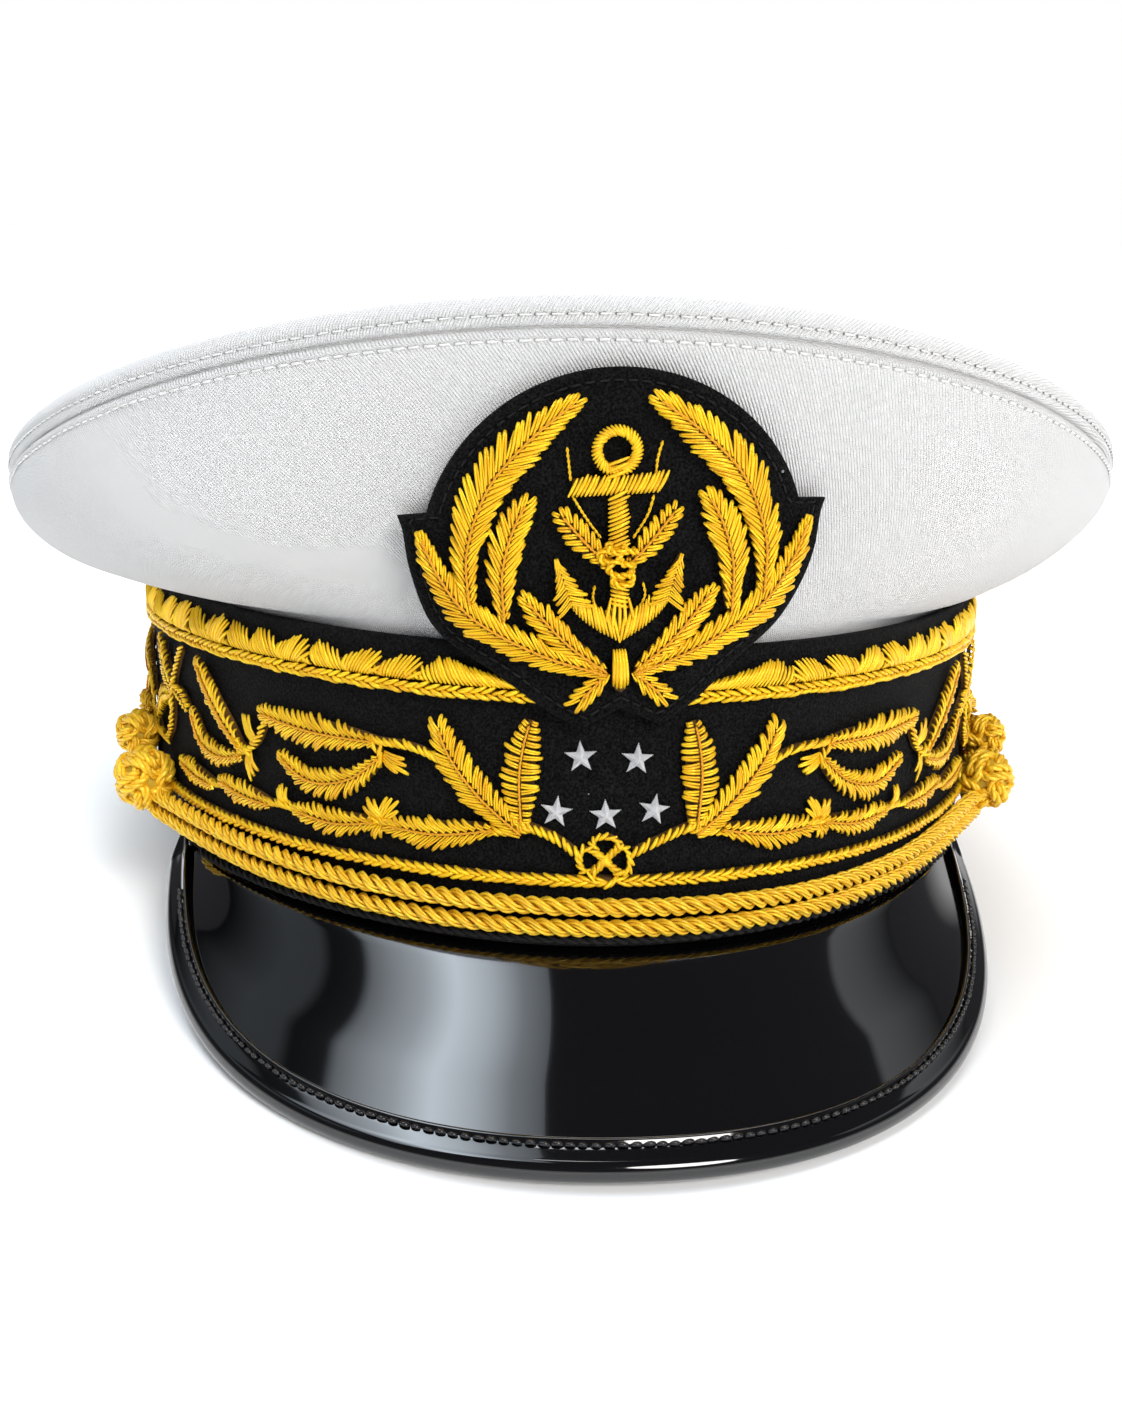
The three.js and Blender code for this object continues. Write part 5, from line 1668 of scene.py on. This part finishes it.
def make_anchor():
    """Anchor of bars of wire, with its ring, flukes, knot and loose rope."""
    work = Needlework(badge_side(1), 120)

    # Ring
    turn = np.linspace(0, 2 * math.pi, 60)
    circle = np.stack([np.cos(turn), np.sin(turn)], -1)
    middle = np.array([0, 15.9])
    slanted = np.stack([np.cos(turn - 0.4), np.sin(turn - 0.4)], -1)
    work.bars.stitches(middle + circle * 3.75, 0.8, middle + slanted * 2.1, 0.8)
    circle = circle[:-1]
    ring = []
    for out, rise in ((2.4, 0.2), (2.95, 1.1), (3.5, 0.2)):
        ring.append(on_badge(*(middle + circle * out).T, GAP + rise))
    work.pads.append(padding(ring, wrap=(True, True), caps=False))

    def bar(line, half, lean, low=0.9):
        """Bar of slanted wires over its padding."""
        centre, along, across, _ = ribbon(line)
        work.bars.slanted(centre, along, across, half, lean, low)
        work.pad(centre, across, np.full(len(centre), half * 0.8), 0.1, low - 0.1)

    # Stock, and the shank in three lengths with a fan at its foot
    bar([[-6.5, 10.9], [0, 11], [6.5, 11.1]], 1.45, 0.8, 0.95)
    bar([[0, 14.4], [0, 12.6]], 1.7, -0.6, 1.1)
    bar([[0, 9.4], [0, 6], [0, 1]], 1.5, -0.6, 1.1)
    bar([[0, -2.5], [0, -5], [0, -7]], 1.35, 0.4, 1.1)
    fan = np.linspace(-1, 1, 9)
    foot = np.stack([fan * 1.3, np.full(9, -5.8)], -1)
    work.bars.stitches(foot, 1.2, np.stack([fan * 2.2, -11.4 + 1.3 * np.abs(fan)], -1), 0.8)

    # Each side's leaf, arm and fluke
    for side in (-1, 1):
        flip = np.array([side, 1])
        work.leaf(np.array([[1.2, -1.2], [4.9, 2.6], [8.4, 6.9]]) * flip, 4.4, slant=0.8, low=1.1)
        arm = np.array([[0.5, -10.4], [3.2, -9], [5.6, -7.2], [7.7, -4.8]]) * flip
        centre, along, across, run = ribbon(arm)
        half = (1.95 - 0.95 * run / run[-1])[:, None] * side
        work.bars.slanted(centre, along, across, half, 1.5, 0.8)
        work.pad(centre, across, np.abs(half[:, 0]) * 0.9, 0.1, 0.8)
        head = np.array([[7.2, -6.3], [8.2, -3.2], [9.3, 0.4]]) * flip
        centre, along, across, run = ribbon(head)
        wide = (2.7 * (1 - run / run[-1]) ** 0.8 + 0.2)[:, None]
        for way in (-1, 1):
            work.flukes.stitches(centre, 1.9, centre + way * across * wide - along * 1.5, 1.2)
        work.pad(centre, across, wide[:, 0] * 0.6, 0.1, 0.8)

    # Knot on the shank and the ends of its rope
    knot = Rows(badge_side(1))
    for k, (x, y, r) in enumerate(SHANK_KNOT):
        t = np.linspace(0.7 * k, 0.7 * k + 4.6, 24)
        knot.cord(np.stack([x + r * 1.25 * np.cos(t), y + r * 0.8 * np.sin(t)], -1), 1.8 + 0.1 * k)
    loose = Rows(badge_side(1))
    for strand in LOOSE_ROPE:
        loose.cord(smooth(strand, 6), 0.45)
    meshes = work.meshes()
    meshes.append(laid(knot, "gold_wire", 0.0006, 0.0024, strands=2, threads=1, step=0.0003))
    meshes.append(laid(loose, "gold_wire", 0.00026, 0.0016, strands=2, threads=1, step=0.0004))
    piece("anchor_wires", meshes, "gold_thread", "anchor")


# Chin cord


KNOT = {"arc": 105.0, "height": 8.6, "radius": 5.6}
BUTTON = {"arc": 121.0, "height": 15.0, "radius": 5.2, "depth": 4.0}
SEAT = 2.4
CORD_END = 99.2
# Each side's two ball knots: how far back and up from the knot's place, and how much slimmer than its radius
LARGE_BALL = {"back": -1.8, "up": 2.6, "reach": 0, "radius": 0}
SMALL_BALL = {"back": 7.6, "up": 9.2, "reach": 0.6, "radius": 1.3}
EDGING = {"half_length": 86, "height": 0.95, "proud": 1.2, "radius": 0.00075}
LOOP = {"reach": 1.75, "from": -152, "to": 124, "up": 1, "proud": 2.1}


def cord_height(arc, upper):
    """Height of the upper or lower run of the chin cord, which hangs lower on the right."""
    share = np.abs(arc / 100) ** 3
    hang = ease(arc, -8, 45) * (1 - ease(arc, 60, 98))
    return 6.7 + 2.1 * share - 1.0 * hang if upper else 3.2 + 2.5 * share - 0.7 * hang


# Half the thickness of the doubled cord of a ball knot
BALL_CORD = 0.85


def turks_head(side, arc, height, proud, radius):
    """Round knot of a doubled cord that goes over and under itself, as three turns of five bights."""
    rows = Rows(lambda x, y, z: on_band(side * arc + 0.95 * x, height + 1.05 * y, proud + z))
    ball = radius - BALL_CORD
    t = np.linspace(0, 6 * math.pi, 361)[:-1]
    latitude = math.radians(61) * np.cos(5 * t / 3 + 0.4)
    lift = ball + 0.7 * np.sin(10 * t / 3 + 0.8)
    path = np.stack([np.sin(latitude), np.cos(latitude) * np.cos(t), np.cos(latitude) * np.sin(t)], -1)
    way = unit(np.roll(path, -1, 0) - np.roll(path, 1, 0))
    beside = np.cross(way, path)
    for shift in (-0.17, 0.17):
        spot = path * lift[:, None] + beside * shift * ball
        foot = settled(rows.surface(*spot.T))
        rows.lines.append((foot, *[settled(rows.surface(*(spot + path).T)) - foot] * 2, True))
    strands = laid(rows, "gold_cord", 0.0002 * ball, 0.006, strands=3, threads=1, step=0.00055, seed=140)
    # Core of the ball, a darker copy of the cord colour as painted shade between the strands.
    around = turn_angles(24)
    rings = []
    for lat in np.linspace(-HALF_TURN / 2, HALF_TURN / 2, 13):
        level = np.cos(lat)
        ring = np.stack([np.sin(lat) + 0 * around, level * np.cos(around), level * np.sin(around)])
        rings.append(rows.surface(*((ball - 0.25) * ring)))
    core = merged(skin("knot_core", np.stack(rings), look("cord_core_shade"), wrap=(False, True)))
    return [strands, core]


def make_cords():
    """Runs of the chin cord, the edging below, and each side's knots, end loop and button."""
    sizes = bpy.context.scene.cap_sizes
    cord = sizes.cord_radius
    for word, upper in (("upper", True), ("lower", False)):
        rows = Rows(on_band)
        arc = np.linspace(-CORD_END - 2, CORD_END + 2, 240)
        proud = 1.5 + GAP + 2.6 * np.minimum(1, np.abs(arc) / CORD_END) ** 8
        rows.cord(np.stack([arc, cord_height(arc, upper)], -1), proud)
        size = cord if upper else cord * 0.95
        mesh = laid(rows, "gold_cord", size, sizes.cord_lay, seed=130)
        piece(f"chin_cord_{word}", [mesh], "gold_thread", f"cord_{word}")
    edging = Rows(on_band)
    arc = np.linspace(-EDGING["half_length"], EDGING["half_length"], 200)
    edging.cord(np.stack([arc, np.full(200, EDGING["height"])], -1), EDGING["proud"])
    twist = laid(edging, "black_thread", EDGING["radius"], 0.004, strands=2, threads=1, step=0.0005)
    piece("band_foot_edging", [twist], "black_cloth")
    for word, side in SIDES:
        balls = []
        for ball in (LARGE_BALL, SMALL_BALL):
            arc, height = KNOT["arc"] + ball["back"], KNOT["height"] + ball["up"]
            reach, radius = KNOT["radius"] - ball["reach"], KNOT["radius"] - ball["radius"]
            balls += turks_head(side, arc, height, reach, radius)
        piece(f"cord_ball_{word}", balls, "gold_thread", f"cord_knot_{word}")

        loop = Rows(on_band)
        reach = BUTTON["radius"] + LOOP["reach"]
        turn = np.radians(np.linspace(LOOP["from"], LOOP["to"], 60))
        arcs = BUTTON["arc"] + reach * np.cos(turn)
        heights = BUTTON["height"] + LOOP["up"] + reach * np.sin(turn)
        loop.cord(np.stack([side * arcs, heights], -1), LOOP["proud"])
        mesh = laid(loop, "gold_cord", cord, sizes.cord_lay, seed=150)
        piece(f"cord_end_loop_{word}", [mesh], "gold_thread", f"cord_loop_{word}")

        size, depth = BUTTON["radius"], BUTTON["depth"]
        profile = smooth([[0, 0], [size - 0.6, 0], [size, 0.5], [size - 0.2, 1.2], [size * 0.86, depth * 0.6],
                          [size * 0.5, depth * 0.92], [0, depth]], 5)
        around = turn_angles(48)
        rows = [on_band(side * BUTTON["arc"] + out * np.cos(around), BUTTON["height"] + out * np.sin(around),
                        SEAT + rise) for out, rise in profile]
        dome = merged(skin("button", np.stack(rows), look("gilt_metal"), wrap=(False, True)))
        piece(f"side_button_{word}", [dome], "gilt_metal", f"button_{word}")


# Stage


def sun_light(name, way, spread, strength, shade):
    """Soft light from one direction, as wide as a number of degrees."""
    light = bpy.data.lights.new(name, "SUN")
    light.angle = math.radians(spread)
    light.energy = strength
    light.color = shade
    lamp = bpy.data.objects.new(name, light)
    bpy.context.scene.collection.objects.link(lamp)
    lamp.rotation_euler = Vector(way).to_track_quat("Z", "Y").to_euler()


# Glow of the two panels from one edge to the other
PANEL_GLOW = [
    (0.0, 0.0), (0.06, 0.012), (0.2, 0.045), (0.295, 0.045), (0.33, 0.006), (0.42, 0.012), (0.45, 0.2),
    (0.6, 0.55), (0.7, 1.0), (0.81, 0.7), (0.91, 0.3), (1.0, 0.16),
]
STREAK_GLOW = [(0.0, 0.0), (0.1, 1.0), (0.45, 0.7), (1.0, 0.08)]


def soft_panel(name, lean, y, shade, strength, profile):
    """Curved panel of light over the cap between two angles from upright, clear from outside."""
    share = np.linspace(0, 1, 25)
    turn = np.radians(lean[0] + (lean[1] - lean[0]) * share)
    rows = [np.stack([np.sin(turn), np.full(25, end), np.cos(turn)], -1) for end in y]
    mesh = bpy.data.meshes.new(name)
    faces = [(k, k + 25, k + 26, k + 1) for k in range(24)]
    mesh.from_pydata(np.concatenate(rows).tolist(), [], faces)
    layer = mesh.attributes.new("share", "FLOAT", "POINT")
    layer.data.foreach_set("value", np.tile(share, 2))
    material, tree = blank_material(name)
    place = tree.add("ShaderNodeAttribute", {"attribute_name": "share"}, None, "Fac")
    stops = [(at, rgba(shade, value)) for at, value in profile]
    ramp = tree.add("ShaderNodeValToRGB", {"stops": stops}, {0: place})
    glow = tree.add("ShaderNodeEmission", None, {"Color": ramp, "Strength": strength})
    tree.clear_behind(glow)
    mesh.materials.append(material)
    new_object(name, mesh)


CAMERA_AT = (-0.02794, -0.324334, 0.13495)
CAMERA_LOOK = (0.08459, 0.94518, -0.31541)
CAMERA_UP = (-0.00561, 0.317, 0.94841)
FOCAL_PIXELS = 1530.1
IMAGE_HEIGHT = 1402
SENSOR = 36
FLOOR_HALF = 4.0
FLOOR_GLOW = 0.14
# Brightness of the studio by the height of the view's direction
STUDIO = [
    (0.0, (1, 1, 1, 1)), (0.13, (1, 1, 1, 1)), (0.24, (0.11, 0.11, 0.12, 1)), (1.0, (0.08, 0.08, 0.09, 1)),
]


def make_stage():
    """Camera, floor, studio and lights of the photograph."""
    scene = bpy.context.scene
    camera = bpy.data.cameras.new("camera")
    camera.sensor_width = SENSOR
    camera.lens = SENSOR * FOCAL_PIXELS / IMAGE_HEIGHT
    camera.clip_start = 0.01
    holder = bpy.data.objects.new("camera", camera)
    scene.collection.objects.link(holder)
    look_at, up = Vector(CAMERA_LOOK), Vector(CAMERA_UP)
    right = look_at.cross(up)
    matrix = Matrix((right, up, -look_at)).transposed().to_4x4()
    matrix.translation = Vector(CAMERA_AT)
    holder.matrix_world = matrix
    scene.camera = holder

    mesh = bpy.data.meshes.new("floor")
    corners = [(x * FLOOR_HALF, y * FLOOR_HALF, 0) for x, y in ((-1, -1), (1, -1), (1, 1), (-1, 1))]
    mesh.from_pydata(corners, [], [(0, 1, 2, 3)])
    material, tree = blank_material("pale_floor")
    diffuse = tree.add("ShaderNodeBsdfDiffuse", None, {"Color": (0.9, 0.9, 0.9, 1.0)})
    glow = tree.add("ShaderNodeEmission", None, {"Color": (1.0, 1.0, 1.0, 1.0), "Strength": FLOOR_GLOW})
    lit = tree.add("ShaderNodeAddShader", None, {0: diffuse, 1: glow})
    tree.clear_behind(lit)
    mesh.materials.append(material)
    new_object("floor", mesh)

    world = bpy.data.worlds.new("studio")
    scene.world = world
    world.use_nodes = True
    world.node_tree.nodes.clear()
    tree = Tree(world.node_tree)
    way = tree.add("ShaderNodeTexCoord", None, None, "Generated")
    height = tree.add("ShaderNodeSeparateXYZ", None, {0: way}).other("Z")
    shade = tree.add("ShaderNodeValToRGB", {"stops": STUDIO}, {0: height})
    background = tree.add("ShaderNodeBackground", None, {"Color": shade, "Strength": 1.0})
    tree.add("ShaderNodeOutputWorld", None, {"Surface": background})

    sun_light("front_light", (0.36, -0.74, 0.72), 24, 2.2, (1.0, 0.985, 0.965))
    sun_light("back_light", (0.0, 0.65, 1.0), 50, 3.7, (1.0, 1.0, 1.0))
    scene.view_settings.view_transform = "Standard"
    soft_panel("overhead_left", (-62, -5), (-0.35, 1.6), (0.82, 0.91, 1.0), 8.0, PANEL_GLOW)
    soft_panel("overhead_right", (48.2, 62), (-0.3, 1.6), (0.95, 0.97, 1.0), 0.75, STREAK_GLOW)


# Add-on


class CAP_OT_make_cover(bpy.types.Operator):
    """White cloth cover with its piping and machine stitches"""

    bl_idname = "cap.make_cover"
    bl_label = "White Cover"

    def execute(self, context):
        make_cover()
        return {"FINISHED"}


class CAP_OT_make_band(bpy.types.Operator):
    """Black wool band with the leather sweatband inside"""

    bl_idname = "cap.make_band"
    bl_label = "Band"

    def execute(self, context):
        make_band()
        return {"FINISHED"}


class CAP_OT_make_peak(bpy.types.Operator):
    """Patent leather peak with its stitched binding"""

    bl_idname = "cap.make_peak"
    bl_label = "Peak"

    def execute(self, context):
        make_peak()
        return {"FINISHED"}


class CAP_OT_make_sprays(bpy.types.Operator):
    """Bullion leaf sprays round the band"""

    bl_idname = "cap.make_sprays"
    bl_label = "Leaf Sprays"

    def execute(self, context):
        make_sprays()
        return {"FINISHED"}


class CAP_OT_make_borders(bpy.types.Operator):
    """Braids with half leaves along the top of the band"""

    bl_idname = "cap.make_borders"
    bl_label = "Leaf Borders"

    def execute(self, context):
        make_borders()
        return {"FINISHED"}


class CAP_OT_make_lower_braid(bpy.types.Operator):
    """Plaited braid round the foot of the band, with its knot"""

    bl_idname = "cap.make_lower_braid"
    bl_label = "Lower Braid"

    def execute(self, context):
        make_lower_braid()
        return {"FINISHED"}


class CAP_OT_make_stars(bpy.types.Operator):
    """Five silver stars in satin stitch"""

    bl_idname = "cap.make_stars"
    bl_label = "Stars"

    def execute(self, context):
        make_stars()
        return {"FINISHED"}


class CAP_OT_make_badge(bpy.types.Operator):
    """Felt patch with its stitched edge"""

    bl_idname = "cap.make_badge"
    bl_label = "Badge Patch"

    def execute(self, context):
        make_badge()
        return {"FINISHED"}


class CAP_OT_make_wreath(bpy.types.Operator):
    """Two branches of the wreath and their tie"""

    bl_idname = "cap.make_wreath"
    bl_label = "Wreath"

    def execute(self, context):
        make_wreath()
        return {"FINISHED"}


class CAP_OT_make_anchor(bpy.types.Operator):
    """Anchor with leaves on the badge"""

    bl_idname = "cap.make_anchor"
    bl_label = "Anchor"

    def execute(self, context):
        make_anchor()
        return {"FINISHED"}


class CAP_OT_make_cords(bpy.types.Operator):
    """Twisted cords, ball knots, end loops and side buttons"""

    bl_idname = "cap.make_cords"
    bl_label = "Chin Cord"

    def execute(self, context):
        make_cords()
        return {"FINISHED"}


class CAP_OT_make_stage(bpy.types.Operator):
    """Floor, lights and the camera"""

    bl_idname = "cap.make_stage"
    bl_label = "Stage"

    def execute(self, context):
        make_stage()
        return {"FINISHED"}


OPERATORS = (
    CAP_OT_make_cover,
    CAP_OT_make_band,
    CAP_OT_make_peak,
    CAP_OT_make_sprays,
    CAP_OT_make_borders,
    CAP_OT_make_lower_braid,
    CAP_OT_make_stars,
    CAP_OT_make_badge,
    CAP_OT_make_wreath,
    CAP_OT_make_anchor,
    CAP_OT_make_cords,
    CAP_OT_make_stage,
)


class CAP_PT_panel(bpy.types.Panel):
    """Sizes, colours and the pieces of the cap."""

    bl_idname = "CAP_PT_panel"
    bl_label = "Peaked Cap"
    bl_space_type = "VIEW_3D"
    bl_region_type = "UI"
    bl_category = "Cap"

    def draw(self, context):
        for group in (context.scene.cap_sizes, context.scene.cap_colours):
            for name in group.__annotations__:
                self.layout.prop(group, name)
        for operator in OPERATORS:
            self.layout.operator(operator.bl_idname)


CLASSES = (CapColours, CapSizes, *OPERATORS, CAP_PT_panel)


def register():
    for item in CLASSES:
        bpy.utils.register_class(item)
    bpy.types.Scene.cap_sizes = bpy.props.PointerProperty(type=CapSizes)
    bpy.types.Scene.cap_colours = bpy.props.PointerProperty(type=CapColours)


def unregister():
    del bpy.types.Scene.cap_sizes
    del bpy.types.Scene.cap_colours
    for item in reversed(CLASSES):
        bpy.utils.unregister_class(item)


def main():
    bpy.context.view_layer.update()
    register()
    bpy.ops.cap.make_cover()
    bpy.ops.cap.make_band()
    bpy.ops.cap.make_peak()
    bpy.ops.cap.make_sprays()
    bpy.ops.cap.make_borders()
    bpy.ops.cap.make_lower_braid()
    bpy.ops.cap.make_stars()
    bpy.ops.cap.make_badge()
    bpy.ops.cap.make_wreath()
    bpy.ops.cap.make_anchor()
    bpy.ops.cap.make_cords()
    bpy.ops.cap.make_stage()


if __name__ == "__main__":
    main()
